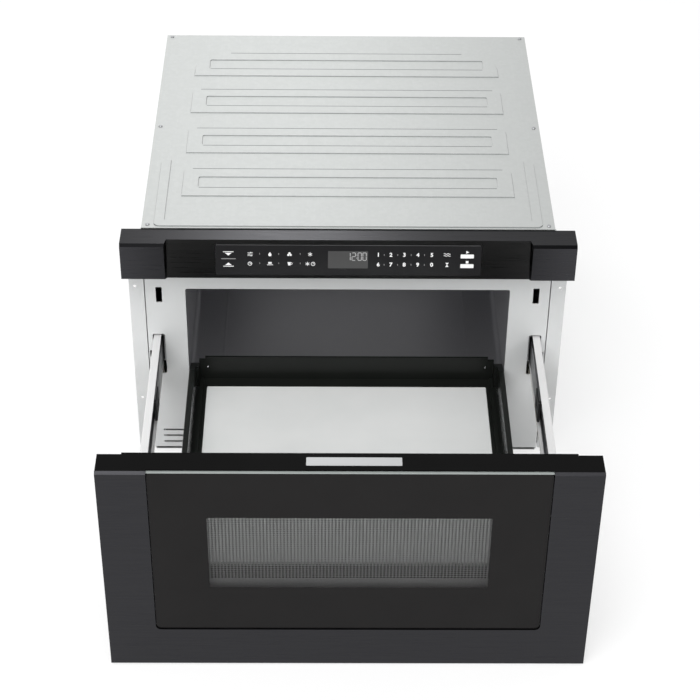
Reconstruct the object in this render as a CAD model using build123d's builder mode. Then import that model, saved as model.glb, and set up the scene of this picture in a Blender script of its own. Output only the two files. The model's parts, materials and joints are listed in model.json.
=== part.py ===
from build123d import *
import os
from math import acos, cos, pi, radians, sin, tan

# A 24 inch built-in microwave drawer, drawn with its drawer open.
# Millimetres. The frame's origin is the middle of the base plate's underside,
# +Z is up and -Y is towards the person who uses it.

# ---------------------------------------------------------------- overall size
FRONT_WIDTH = 607.0         # control panel and drawer front
OVERALL_HEIGHT = 390.0      # underside of the base to the top of the panel
CABINET_WIDTH = 554.0
CABINET_DEPTH = 530.0
SHEET = 1.0                 # cabinet steel
FACE_Y = -CABINET_DEPTH / 2             # outside of the front plate
REAR_Y = CABINET_DEPTH / 2
FRONT_Y = FACE_Y - 38.0                 # closed drawer front and panel ends
TRAVEL = 385.0                          # drawer stroke, open at rest
SIDE_X = CABINET_WIDTH / 2

# ---------------------------------------------------------------- control panel
PANEL_Z = (331.8, 387.3)
PANEL_RECESS_Y = (FACE_Y - 34.8, FACE_Y - 25.0)     # sloping middle: at its foot and at its top
PANEL_END_X = 245.0         # inner edge of each thick end, at its front
PANEL_RECESS_X = 242.3      # the same edge at the sloping face
PANEL_WALL = 1.2
GLASS_HALF = 177.5          # touch glass
GLASS_SPAN = (4.7, 49.4)    # its lower and upper edge, up the slope from the foot
GLASS_DEPTH = 2.8           # its back, below the sloping face
GLASS_PROUD = 0.2
BOARD_SPAN = (6.0, 50.5)
BOARD_DEPTH = 8.8           # the key board's front, below the sloping face
BOARD_THICK = 1.6
CARRIER_X = 150.0           # posts that carry the key board

# ---------------------------------------------------------------- front plate
PLATE_Z = (5.0, 386.0)
MOUTH_HALF = 222.5          # cavity opening
MOUTH_Z = (108.0, 288.5)
SLOT_X = (253.5, 270.9)     # slots for the slides and the arms
SLOT_Z = (141.0, 210.7)
HOOK_SLOT_X = (254.5, 263.0)
HOOK_SLOT_Z = (265.5, 291.0)
VENT_Z = (14.5, 25.7, 36.6)
PLATE_HALF = SIDE_X + 0.3
FLANGE_X = (SIDE_X + 1.6, 299.0)
FLANGE_SHEET = 1.5
NOTCH_X, NOTCH_Z = (272.8, 275.9), (170.2, 181.8)
HOLE_X = 291.0
HOLE_Z = (96.5, 292.0)
HOLE_RADIUS = 2.3

# ---------------------------------------------------------------- cavity
CAVITY_HALF = 226.0
CAVITY_Z = (108.0, 289.0)
CAVITY_BACK_Y = 149.0
LINER = 0.8
STIRRER_Y = -58.0
LAMP_X, LAMP_Z = 190.0, 250.0

# ---------------------------------------------------------------- drawer front
DOOR_Y = FRONT_Y - TRAVEL               # its face when open
DOOR_Z = (2.0, 327.0)
FRAME_DEPTH = 34.0
BODY_HALF = 274.0
BODY_REAR_Y = FACE_Y - 0.5 - TRAVEL
BODY_PLATE = 1.5            # rear plate of the drawer front
FOOT_Y = BODY_REAR_Y - BODY_PLATE       # where the arms' feet are screwed
STILE_X = 243.0             # inner edge of each stile
RAIL_TOP_Z = 63.2
RAIL_RADIUS = 7.0           # lower corners between the stiles
EDGE_CHAMFER = 3.5
WINDOW_HALF = 176.5
WINDOW_Z = (126.0, 253.0)   # opening in the wall behind the glass
INNER_WINDOW_Z = (142.0, 259.5)

# ---------------------------------------------------------------- tub
TUB_HALF = 221.5
RIM = 7.5
RIM_Z = 156.0
TUB_BOTTOM_Z = 109.5
FRONT_RIM_Z = 140.0         # the front wall is lower, below the window
TRAY_TOP_Z = 115.0
TRAY_HALF = 198.5
TRAY_RADIUS = 2.0
TRAY_REAR_Y = FACE_Y + 3.0
TUB_REAR_Y = FACE_Y + 24.0

# ---------------------------------------------------------------- slides and drive
ARM_X = (259.0, 269.5)
ARM_Z = (148.0, 208.0)
ARM_REAR_Y = FACE_Y + 80.0
ARM_SHEET = 1.5
SLIDE_Z = (ARM_Z[0] + ARM_Z[1]) / 2     # middle height of the slides
SHAFT_Y = FACE_Y + 55.0
MODULE = 2.0                # rack and side gears
PITCH_Z = 143.3             # pitch line of the rack
GEAR_TEETH = 46
SHAFT_Z = PITCH_Z - MODULE * GEAR_TEETH / 2
SHAFT_RADIUS = 4.0
FINE_MODULE = 1.5           # gear pair at the motor
FINE_GEAR_TEETH = 30
PINION_TEETH = 16
PINION_Z = SHAFT_Z - FINE_MODULE * (FINE_GEAR_TEETH + PINION_TEETH) / 2
PRESSURE = radians(20)
RUNNING_GAP = 0.05          # radial clearance of a shaft in its bush

XZ = Plane.XZ               # faces -Y, so Plane.XZ.offset(-y) lies at Y = y


def block(x, y, z, mode=Mode.ADD):
    """A box between two corners, in the part that is being built."""
    with Locations(((x[0] + x[1]) / 2, (y[0] + y[1]) / 2, (z[0] + z[1]) / 2)):
        Box(x[1] - x[0], y[1] - y[0], z[1] - z[0], mode=mode)


def window(x, z, mode=Mode.ADD, radius=0.0):
    """A rectangle between two corners, in the sketch that is being drawn."""
    with Locations(((x[0] + x[1]) / 2, (z[0] + z[1]) / 2)):
        if radius:
            RectangleRounded(x[1] - x[0], z[1] - z[0], radius, mode=mode)
        else:
            Rectangle(x[1] - x[0], z[1] - z[0], mode=mode)


def both(x):
    """A range of X on the right-hand side, and the same one on the left."""
    return (x, (-x[1], -x[0]))


def involute_half_angle(radius, teeth, module, backlash):
    """Half of a tooth's angle at a radius, for a spur gear."""
    base = module * teeth / 2 * cos(PRESSURE)
    here = acos(min(1.0, base / max(radius, base)))
    thickness = (pi / 2 - backlash / module) / teeth
    return thickness + (tan(PRESSURE) - PRESSURE) - (tan(here) - here)


def gear_face(teeth, module, backlash=0.3, on_tooth=False):
    """The face of a spur gear, with a tooth space (or a tooth) on local +Y."""
    pitch = module * teeth / 2
    root, tip = pitch - 1.2 * module, pitch + 0.85 * module
    start = pi / 2 + (0 if on_tooth else pi / teeth)

    def at(radius, side):
        angle = start + side * involute_half_angle(radius, teeth, module, backlash)
        return (radius * cos(angle), radius * sin(angle))

    with BuildSketch() as tooth:
        with BuildLine():
            low = at(root, 1)
            inner = (low[0] * 0.97, low[1] * 0.97)
            other = at(root, -1)
            other_inner = (other[0] * 0.97, other[1] * 0.97)
            Line(inner, low)
            ThreePointArc(low, at((root + tip) / 2, 1), at(tip, 1))
            Line(at(tip, 1), at(tip, -1))
            ThreePointArc(at(tip, -1), at((root + tip) / 2, -1), other)
            Line(other, other_inner)
            Line(other_inner, inner)
        make_face()
    with BuildSketch() as face:
        Circle(root)
        with PolarLocations(0, teeth):
            add(tooth.sketch)
    return face.sketch


# ================================================================ the cabinet

# The base plate: flat underneath, with turned-up edges and two pressed
# stiffening channels.
BASE_HALF = SIDE_X - SHEET - 0.2
with BuildPart() as base_plate:
    with BuildSketch(Plane.XY):
        window((-BASE_HALF, BASE_HALF), (FACE_Y + SHEET, REAR_Y - SHEET - 0.2))
    extrude(amount=SHEET)
    for x in both((BASE_HALF - SHEET, BASE_HALF)):
        block(x, (FACE_Y + 2, REAR_Y - 3), (SHEET, 16))
    for x in (-90.0, 90.0):
        with BuildSketch(Plane.XY.offset(SHEET)):
            with Locations((x, 0)):
                SlotOverall(430, 24, rotation=90)
        extrude(amount=2.4, taper=30)
        with BuildSketch(Plane.XY):
            with Locations((x, 0)):
                SlotOverall(428, 22, rotation=90)
        extrude(amount=2.4, taper=30, mode=Mode.SUBTRACT)

# The front plate carries the cavity mouth, the slide slots, the slots of the
# door hooks, three exhaust slots on the left and a cable window behind the panel.
with BuildPart() as front_plate:
    with BuildSketch(XZ.offset(-(FACE_Y + SHEET))):
        window((-PLATE_HALF, PLATE_HALF), PLATE_Z)
        window((-MOUTH_HALF, MOUTH_HALF), MOUTH_Z, Mode.SUBTRACT, 3)
        for x in both(SLOT_X):
            window(x, SLOT_Z, Mode.SUBTRACT, 3)
        for x in both(HOOK_SLOT_X):
            window(x, HOOK_SLOT_Z, Mode.SUBTRACT, 0.8)
        for x in both(NOTCH_X):
            window(x, NOTCH_Z, Mode.SUBTRACT)
        for z in VENT_Z:
            window((-263.7, -206.0), (z - 1.6, z + 1.6), Mode.SUBTRACT, 1.5)
        window((-120, 120), (342, 374), Mode.SUBTRACT, 4)
    extrude(amount=SHEET)
    block((-250, 250), (FACE_Y + SHEET, FACE_Y + 13), (PLATE_Z[0], PLATE_Z[0] + SHEET))

# Each side panel is one sheet with a top flange that the cover screws into and
# a rear flange that the back panel closes on.
PANEL_TOP_Z = 387.9
with BuildPart() as right_side_panel:
    with BuildSketch(XZ.offset(-(REAR_Y - SHEET))):
        with BuildLine():
            Polyline(
                (SIDE_X, 2),
                (SIDE_X, PANEL_TOP_Z),
                (SIDE_X - 18, PANEL_TOP_Z),
                (SIDE_X - 18, PANEL_TOP_Z - SHEET),
                (SIDE_X - SHEET, PANEL_TOP_Z - SHEET),
                (SIDE_X - SHEET, 2),
                close=True,
            )
        make_face()
    extrude(amount=CABINET_DEPTH - 2 * SHEET)
    block((SIDE_X - 14, SIDE_X - SHEET), (REAR_Y - 2 * SHEET, REAR_Y - SHEET),
          (24, PANEL_TOP_Z - 8))
with BuildPart() as left_side_panel:
    mirror(right_side_panel.part, about=Plane.YZ)

# The back panel: rows of intake slots behind the fan, and the inlet's hole.
INLET_X, INLET_Z, INLET_RADIUS = -200.0, 345.0, 11.0
with BuildPart() as back_panel:
    with BuildSketch(XZ.offset(-REAR_Y)):
        window((-SIDE_X + 0.2, SIDE_X - 0.2), (2, PANEL_TOP_Z - 0.2))
        with Locations((INLET_X, INLET_Z)):
            Circle(INLET_RADIUS, mode=Mode.SUBTRACT)
        with Locations((165, 232)):
            with GridLocations(30, 12, 5, 9):
                SlotOverall(24, 5, mode=Mode.SUBTRACT)
    extrude(amount=SHEET)

# The top cover: nested rectangles pressed into it, the outer one up and the
# inner one back down, and a rib that runs round the front corners.
COVER_Z = PANEL_TOP_Z
COVER_SHEET = 1.0
BEAD = OVERALL_HEIGHT - COVER_Z - COVER_SHEET
BEADS = ((76.5, 147.0), (187.0, 255.0), (296.5, 365.0), (404.0, 474.0))
with BuildPart() as top_cover:
    with BuildSketch(Plane.XY.offset(COVER_Z)):
        Rectangle(CABINET_WIDTH, CABINET_DEPTH)
    extrude(amount=COVER_SHEET)
    for low, high in BEADS:
        rear = high == BEADS[-1][1]
        middle_y = FACE_Y + (low + high) / 2
        with BuildSketch(Plane.XY.offset(COVER_Z + COVER_SHEET)) as bead:
            with Locations((0, middle_y)):
                Rectangle(456.8, high - low)
            back_corners = bead.vertices().group_by(Axis.Y)[-1]
            front_corners = bead.vertices().group_by(Axis.Y)[0]
            fillet(back_corners, 52 if rear else 12)
            fillet(front_corners, 10)
        extrude(amount=BEAD, taper=40)
        with BuildSketch(Plane.XY.offset(OVERALL_HEIGHT)):
            with Locations((0, middle_y)):
                RectangleRounded(414, 27, 3.5)
        extrude(amount=-BEAD, taper=40, mode=Mode.SUBTRACT)
    with BuildSketch(Plane.XY.offset(COVER_Z + COVER_SHEET)) as rib:
        window((-261.3, 261.3), (FACE_Y + 3.5, FACE_Y + 168))
        fillet(rib.vertices(), 8)
        window((-247, 247), (FACE_Y + 19, FACE_Y + 180), Mode.SUBTRACT)
    extrude(amount=BEAD, taper=30)

# Angle flanges at both sides of the front, with the holes that hold the
# drawer in its cut-out. A joggle leaves a narrow seam beside the front plate.
with BuildPart() as right_mounting_flange:
    with BuildSketch(XZ.offset(-(FACE_Y + FLANGE_SHEET))):
        window(FLANGE_X, PLATE_Z, radius=1.5)
        for z in HOLE_Z:
            with Locations((HOLE_X, z)):
                Circle(HOLE_RADIUS, mode=Mode.SUBTRACT)
    extrude(amount=FLANGE_SHEET)
    block((FLANGE_X[0], FLANGE_X[0] + FLANGE_SHEET), (FACE_Y + 0.5, FACE_Y + 14), (8, 380))
    block((SIDE_X, FLANGE_X[0] + FLANGE_SHEET), (FACE_Y + 12, FACE_Y + 14), (8, 380))
    block((SIDE_X, SIDE_X + FLANGE_SHEET), (FACE_Y + 12, FACE_Y + 34), (8, 380))
with BuildPart() as mounting_flanges:
    add(right_mounting_flange.part)
    mirror(right_mounting_flange.part, about=Plane.YZ)

# ================================================================ the control panel

# The sloping middle face of the panel: drawn from its foot upwards, facing the user.
SLOPE = Plane(
    origin=(0, PANEL_RECESS_Y[0], PANEL_Z[0]),
    x_dir=(1, 0, 0),
    z_dir=(0, PANEL_Z[0] - PANEL_Z[1], PANEL_RECESS_Y[1] - PANEL_RECESS_Y[0]),
)
LEAN = (PANEL_RECESS_Y[1] - PANEL_RECESS_Y[0]) / (PANEL_Z[1] - PANEL_Z[0])

# One folded housing: a sloping face between two thicker ends, open at the back.
with BuildPart() as control_panel_housing:
    block((-FRONT_WIDTH / 2, FRONT_WIDTH / 2), (FRONT_Y, FACE_Y), PANEL_Z)
    top_edges = control_panel_housing.faces().sort_by(Axis.Z)[-1].edges()
    chamfer(top_edges.filter_by(Axis.X).sort_by(Axis.Y)[0], EDGE_CHAMFER)
    for z, y in zip(PANEL_Z, PANEL_RECESS_Y):
        with BuildSketch(Plane.XY.offset(z)):
            with BuildLine():
                Polyline(
                    (-PANEL_END_X, FRONT_Y - 1),
                    (-PANEL_END_X, FRONT_Y),
                    (-PANEL_RECESS_X, y),
                    (PANEL_RECESS_X, y),
                    (PANEL_END_X, FRONT_Y),
                    (PANEL_END_X, FRONT_Y - 1),
                    close=True,
                )
            make_face()
    loft(ruled=True, mode=Mode.SUBTRACT)
    low, high = PANEL_Z[0] + PANEL_WALL, PANEL_Z[1] - PANEL_WALL
    for x in both((PANEL_END_X + PANEL_WALL, FRONT_WIDTH / 2 - PANEL_WALL)):
        with BuildSketch(Plane.YZ.offset(x[0])):
            with BuildLine():
                Polyline(
                    (FACE_Y, low),
                    (FRONT_Y + PANEL_WALL, low),
                    (FRONT_Y + PANEL_WALL, high - EDGE_CHAMFER + 0.6 * PANEL_WALL),
                    (FRONT_Y + EDGE_CHAMFER + 0.4 * PANEL_WALL, high),
                    (FACE_Y, high),
                    close=True,
                )
            make_face()
        extrude(amount=x[1] - x[0], mode=Mode.SUBTRACT)
    inner_x = FRONT_WIDTH / 2 - PANEL_WALL
    with BuildSketch(Plane.YZ.offset(-inner_x)):
        with BuildLine():
            Polyline(
                (FACE_Y, low),
                (PANEL_RECESS_Y[0] + (1 + LEAN) * PANEL_WALL, low),
                (PANEL_RECESS_Y[1] + (1 - LEAN) * PANEL_WALL, high),
                (FACE_Y, high),
                close=True,
            )
        make_face()
    extrude(amount=2 * inner_x, mode=Mode.SUBTRACT)
    with BuildSketch(SLOPE.offset(1)):
        window((-GLASS_HALF - 0.4, GLASS_HALF + 0.4), (GLASS_SPAN[0] - 0.4, GLASS_SPAN[1] + 0.4))
    extrude(amount=-6, mode=Mode.SUBTRACT)
    with BuildSketch(SLOPE.offset(-BOARD_DEPTH)):
        for x in (-CARRIER_X, CARRIER_X):
            window((x - 4, x + 4), (GLASS_SPAN[0] - 2.7, BOARD_SPAN[0] + 1.5))
            window((x - 4, x + 4), (BOARD_SPAN[1] - 1.5, BOARD_SPAN[1] + 3))
    extrude(amount=BOARD_DEPTH - GLASS_DEPTH - 0.6)
    with BuildSketch(SLOPE.offset(-BOARD_DEPTH)):
        for x in (-CARRIER_X, CARRIER_X):
            window((x - 4, x + 4), (GLASS_SPAN[1] + 0.8, BOARD_SPAN[1] + 3))
    extrude(amount=BOARD_DEPTH - 0.8)

with BuildPart() as control_glass:
    with BuildSketch(SLOPE.offset(-GLASS_DEPTH)):
        window((-GLASS_HALF, GLASS_HALF), GLASS_SPAN, radius=1.5)
    extrude(amount=GLASS_DEPTH + GLASS_PROUD)

# Behind the glass: the board that reads the touch keys, with the display on it.
with BuildPart() as control_board:
    with BuildSketch(SLOPE.offset(-BOARD_DEPTH - BOARD_THICK)):
        window((-170, 170), BOARD_SPAN)
        with Locations((-160, 28), (160, 28)):
            Circle(1.8, mode=Mode.SUBTRACT)
    extrude(amount=BOARD_THICK)
    with BuildSketch(SLOPE.offset(-BOARD_DEPTH)):
        window((-30, 30), (12, 44))
    extrude(amount=BOARD_DEPTH - GLASS_DEPTH)
    with BuildSketch(SLOPE.offset(-BOARD_DEPTH - BOARD_THICK)):
        window((-90, -62), (16, 41))
        for x in (40.0, 70.0, 100.0):
            window((x, x + 14), (21, 35))
    extrude(amount=-3.4)

# ================================================================ the oven cavity

FEED_RADIUS = 45.0
with BuildPart() as cavity_liner:
    with BuildSketch(XZ.offset(-(CAVITY_BACK_Y + LINER))):
        window((-CAVITY_HALF - LINER, CAVITY_HALF + LINER),
               (CAVITY_Z[0] - LINER, CAVITY_Z[1] + LINER), radius=9)
    extrude(amount=CAVITY_BACK_Y + LINER - FACE_Y - SHEET)
    with BuildSketch(XZ.offset(-CAVITY_BACK_Y)):
        window((-CAVITY_HALF, CAVITY_HALF), CAVITY_Z, radius=8)
    extrude(amount=CAVITY_BACK_Y - FACE_Y - SHEET, mode=Mode.SUBTRACT)
    with BuildSketch(Plane.XY.offset(CAVITY_Z[1])):
        with Locations((0, STIRRER_Y)):
            Circle(FEED_RADIUS)
    extrude(amount=LINER, mode=Mode.SUBTRACT)
    for x in (-178.0, 178.0):
        with BuildSketch(Plane.XY.offset(CAVITY_Z[0])):
            with Locations((x, -50)):
                SlotOverall(300, 3, rotation=90)
        extrude(amount=0.7, taper=30)
    with BuildSketch(XZ.offset(-(CAVITY_BACK_Y + LINER))):
        with Locations((LAMP_X, LAMP_Z)):
            with GridLocations(9, 9, 4, 3):
                Circle(2.2)
    extrude(amount=LINER, mode=Mode.SUBTRACT)

# Under the ceiling, a tray of microwave-clear plastic hides the stirrer.
COVER_TRAY_Z = 275.5
with BuildPart() as stirrer_cover:
    with BuildSketch(Plane.XY.offset(COVER_TRAY_Z)):
        with Locations((0, STIRRER_Y)):
            RectangleRounded(236, 236, 30)
    extrude(amount=CAVITY_Z[1] - COVER_TRAY_Z)
    fillet(stirrer_cover.edges().group_by(Axis.Z)[0], 4)
    with BuildSketch(Plane.XY.offset(COVER_TRAY_Z + 1.5)):
        with Locations((0, STIRRER_Y)):
            RectangleRounded(232, 232, 28)
    extrude(amount=CAVITY_Z[1] - COVER_TRAY_Z, mode=Mode.SUBTRACT)

# The blade turns in that tray, on a shaft that comes down through the guide.
BLADE_Z = 281.0
GUIDE_Z = (CAVITY_Z[1] + LINER, 326.0)
with BuildPart() as stirrer_blade:
    with BuildSketch(Plane.XY.offset(BLADE_Z)):
        with Locations((0, STIRRER_Y)):
            Circle(16)
            with PolarLocations(48, 4):
                RectangleRounded(74, 34, 6)
    extrude(amount=1.2)
    with BuildSketch(Plane.XY.offset(BLADE_Z)):
        with Locations((0, STIRRER_Y)):
            Circle(4)
    extrude(amount=GUIDE_Z[1] + 6 - BLADE_Z)

with BuildPart() as stirrer_motor:
    with BuildSketch(Plane.XY.offset(GUIDE_Z[1])):
        with Locations((0, STIRRER_Y)):
            Circle(25)
    extrude(amount=20)
    fillet(stirrer_motor.edges().group_by(Axis.Z)[-1], 2)
    with BuildSketch(Plane.XY.offset(GUIDE_Z[1])):
        with Locations((0, STIRRER_Y)):
            RectangleRounded(70, 16, 7)
    extrude(amount=1.5)
    with BuildSketch(Plane.XY.offset(GUIDE_Z[1])):
        with Locations((0, STIRRER_Y)):
            Circle(4 + RUNNING_GAP)
    extrude(amount=7, mode=Mode.SUBTRACT)

# The waveguide: a rectangular duct of bent sheet from the magnetron's antenna,
# behind the cavity, to the round feed in its ceiling.
MAGNETRON_Y = 207.0
with BuildPart() as waveguide:
    block((-46, 46), (STIRRER_Y - 50, MAGNETRON_Y + 36), GUIDE_Z)
    block((-44.8, 44.8), (STIRRER_Y - 48.8, MAGNETRON_Y + 34.8),
          (GUIDE_Z[0] + SHEET, GUIDE_Z[1] - SHEET), Mode.SUBTRACT)
    with BuildSketch(Plane.XY.offset(GUIDE_Z[0])):
        with Locations((0, STIRRER_Y)):
            Circle(40)
        with Locations((0, MAGNETRON_Y)):
            Circle(12)
    extrude(amount=SHEET, mode=Mode.SUBTRACT)
    with BuildSketch(Plane.XY.offset(GUIDE_Z[1] - SHEET)):
        with Locations((0, STIRRER_Y)):
            Circle(6)
    extrude(amount=SHEET, mode=Mode.SUBTRACT)

# The magnetron hangs under the rear end of the guide: yoke, cooling fins,
# filter box and the antenna that stands in the guide.
with BuildPart() as magnetron:
    block((-46, 46), (MAGNETRON_Y - 40, MAGNETRON_Y + 40), (GUIDE_Z[0] - 2.5, GUIDE_Z[0]))
    block((-46, 46), (MAGNETRON_Y - 40, MAGNETRON_Y + 40), (205, 207.5))
    for y in ((MAGNETRON_Y - 40, MAGNETRON_Y - 37.5), (MAGNETRON_Y + 37.5, MAGNETRON_Y + 40)):
        block((-30, 30), y, (207.5, GUIDE_Z[0] - 2.5))
    for level in range(8):
        z = 222.0 + level * 7
        block((-40, 40), (MAGNETRON_Y - 37.5, MAGNETRON_Y + 37.5), (z, z + 1))
    with BuildSketch(Plane.XY.offset(207.5)):
        with Locations((0, MAGNETRON_Y)):
            Circle(20)
    extrude(amount=GUIDE_Z[0] - 2.5 - 207.5)
    with BuildSketch(Plane.XY.offset(GUIDE_Z[0])):
        with Locations((0, MAGNETRON_Y)):
            Circle(9)
    extrude(amount=24)
    block((-35, 35), (MAGNETRON_Y - 34, MAGNETRON_Y + 34), (165, 205))
    block((-34, 34), (MAGNETRON_Y - 33, MAGNETRON_Y + 33), (166, 204), Mode.SUBTRACT)

# ================================================================ cooling

# A sheet-metal fan housing blows across the magnetron's fins. Its axis is X.
FAN_X = (92.0, 127.0)
FAN_Y, FAN_Z = MAGNETRON_Y, 240.0
FAN_RADIUS = 47.0
with BuildPart() as fan_shroud:
    with BuildSketch(Plane.YZ.offset(FAN_X[0])):
        with Locations((FAN_Y, FAN_Z)):
            RectangleRounded(108, 108, 6)
    extrude(amount=FAN_X[1] - FAN_X[0])
    with BuildSketch(Plane.YZ.offset(FAN_X[0])):
        with Locations((FAN_Y, FAN_Z)):
            Circle(FAN_RADIUS + 2)
    extrude(amount=FAN_X[1] - FAN_X[0], mode=Mode.SUBTRACT)
    with BuildSketch(Plane.YZ.offset(FAN_X[1] - 3)):
        with Locations((FAN_Y, FAN_Z)):
            Circle(23)
            Rectangle(100, 9)
            Rectangle(9, 100)
            Circle(3 + RUNNING_GAP, mode=Mode.SUBTRACT)
    extrude(amount=3)
    block(FAN_X, (FAN_Y + 54, REAR_Y - SHEET), (FAN_Z - 40, FAN_Z + 40))
with BuildPart() as fan_motor:
    with BuildSketch(Plane.YZ.offset(FAN_X[1])):
        with Locations((FAN_Y, FAN_Z)):
            Circle(23)
    extrude(amount=26)
    fillet(fan_motor.edges().group_by(Axis.X)[-1], 3)
    with BuildSketch(Plane.YZ.offset(FAN_X[1])):
        with Locations((FAN_Y, FAN_Z)):
            Circle(3 + RUNNING_GAP)
    extrude(amount=12, mode=Mode.SUBTRACT)
FAN_BLADES = 7
BLADE_TILT = radians(38)
with BuildPart() as fan_impeller:
    with BuildSketch(Plane.YZ.offset(FAN_X[0] + 6)):
        with Locations((FAN_Y, FAN_Z)):
            Circle(17)
    extrude(amount=20)
    with BuildSketch(Plane.YZ.offset(FAN_X[0] + 26)):
        with Locations((FAN_Y, FAN_Z)):
            Circle(3)
    extrude(amount=18)
    for number in range(FAN_BLADES):
        angle = 2 * pi * number / FAN_BLADES
        out = Vector(0, cos(angle), sin(angle))
        round_it = Vector(0, -sin(angle), cos(angle))
        along = Vector(sin(BLADE_TILT), 0, 0) + round_it * cos(BLADE_TILT)
        root = Vector(FAN_X[0] + 16, FAN_Y, FAN_Z) + out * 15
        with BuildSketch(Plane(origin=root, x_dir=along, z_dir=out)):
            RectangleRounded(22, 1.6, 0.7)
        extrude(amount=FAN_RADIUS - 16)

# A tapering guide joins the fan housing to the magnetron.
with BuildPart() as air_guide:
    for inset in (0, 1):
        with BuildSketch(Plane.YZ.offset(FAN_X[0])):
            with Locations((FAN_Y, FAN_Z)):
                Rectangle(104 - 2 * inset, 104 - 2 * inset)
        with BuildSketch(Plane.YZ.offset(46)):
            with Locations((FAN_Y, FAN_Z + 6)):
                Rectangle(78 - 2 * inset, 80 - 2 * inset)
        loft(mode=Mode.SUBTRACT if inset else Mode.ADD)

# Warm air leaves the magnetron through this duct, drops behind the cavity, and
# runs forward under it to the slots at the lower left of the front plate.
DUCT_X = (-262.0, -206.0)
DUCT_Z = (6.4, 46.0)
RISER_X, RISER_Y, RISER_TOP_Z = (-206.0, -150.0), (168.0, 246.0), 280.0
DUCT_WALL = 1.0


def inset(span):
    """The same range, one duct wall in from each end."""
    return (span[0] + DUCT_WALL, span[1] - DUCT_WALL)


with BuildPart() as exhaust_duct:
    block(DUCT_X, (FACE_Y + SHEET, RISER_Y[0] + 1), DUCT_Z)
    block((DUCT_X[0], RISER_X[1]), RISER_Y, DUCT_Z)
    block(RISER_X, RISER_Y, (DUCT_Z[1], RISER_TOP_Z))
    block((RISER_X[1], -46), RISER_Y, (208, RISER_TOP_Z))
    block(inset(DUCT_X), (FACE_Y, RISER_Y[0] + 2), inset(DUCT_Z), Mode.SUBTRACT)
    block(inset((DUCT_X[0], RISER_X[1])), inset(RISER_Y), inset(DUCT_Z), Mode.SUBTRACT)
    block(inset(RISER_X), inset(RISER_Y), (DUCT_Z[1] - 2, RISER_TOP_Z - 1), Mode.SUBTRACT)
    block((RISER_X[1] - 2, -46), inset(RISER_Y), (209, RISER_TOP_Z - 1), Mode.SUBTRACT)

# ================================================================ high voltage and boards

with BuildPart() as hv_transformer:
    with BuildSketch(Plane.YZ.offset(110)):
        with Locations((110, 44)):
            RectangleRounded(92, 78, 2)
            with GridLocations(46, 0, 2, 1):
                Rectangle(22, 44, mode=Mode.SUBTRACT)
    extrude(amount=62)
    for z in (24.0, 45.0):
        with BuildSketch(Plane.XY.offset(z)):
            with Locations((141, 110)):
                RectangleRounded(92, 66, 14)
                Rectangle(62.4, 24.4, mode=Mode.SUBTRACT)
        extrude(amount=19)
    block((104, 178), (70, 150), (SHEET, 5))

with BuildPart() as hv_capacitor:
    with BuildSketch(XZ.offset(-170)):
        with Locations((30, 36)):
            SlotOverall(58, 34)
    extrude(amount=100)
    fillet(hv_capacitor.edges().group_by(Axis.Y)[-1], 2)
    with BuildSketch(XZ.offset(-70)):
        with Locations((18, 36), (42, 36)):
            Circle(5)
    extrude(amount=9)
    block((-2, 62), (96, 112), (SHEET, 19.2))

with BuildPart() as power_board:
    with BuildSketch(Plane.XY.offset(298)):
        with Locations((-150, -60)):
            Rectangle(180, 230)
    extrude(amount=1.6)
    for x in (-230.0, -70.0):
        for y in (-165.0, 45.0):
            with BuildSketch(Plane.XY.offset(CAVITY_Z[1] + LINER)):
                with Locations((x, y)):
                    Circle(4)
            extrude(amount=8)
    for number in range(4):
        x = -228.0 + number * 24
        block((x, x + 16), (10, 38), (299.6, 317))
    block((-120, -75), (-120, -80), (299.6, 332))
    block((-225, -160), (-60, -30), (299.6, 306))
    with BuildSketch(Plane.XY.offset(299.6)):
        with Locations((-205, -120), (-180, -120)):
            Circle(9)
    extrude(amount=28)

# The inlet: a bush in the back panel with a clamp bar inside. The lead itself
# isn't part of this model.
with BuildPart() as mains_inlet:
    with BuildSketch(XZ.offset(-(REAR_Y - 6))):
        with Locations((INLET_X, INLET_Z)):
            Circle(INLET_RADIUS)
    extrude(amount=6)
    with BuildSketch(XZ.offset(-(REAR_Y - SHEET))):
        with Locations((INLET_X, INLET_Z)):
            Circle(INLET_RADIUS + 4)
    extrude(amount=5)
    with BuildSketch(XZ.offset(-REAR_Y)):
        with Locations((INLET_X, INLET_Z)):
            Circle(INLET_RADIUS - 0.2)
    extrude(amount=6)
    with BuildSketch(XZ.offset(-REAR_Y)):
        with Locations((INLET_X, INLET_Z)):
            Circle(5)
    extrude(amount=20, mode=Mode.SUBTRACT)

with BuildPart() as cavity_lamp:
    block((LAMP_X - 24, LAMP_X + 24), (CAVITY_BACK_Y + LINER, CAVITY_BACK_Y + 12),
          (LAMP_Z - 18, LAMP_Z + 18))
    with BuildSketch(XZ.offset(-(CAVITY_BACK_Y + 40))):
        with Locations((LAMP_X, LAMP_Z)):
            Circle(11)
    extrude(amount=28)

# ================================================================ slides

# Three nested steel members on each side. Each has a web and two lips with a
# round ball track; their lips face each other a ball's width apart.
BALL = 3.4


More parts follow.
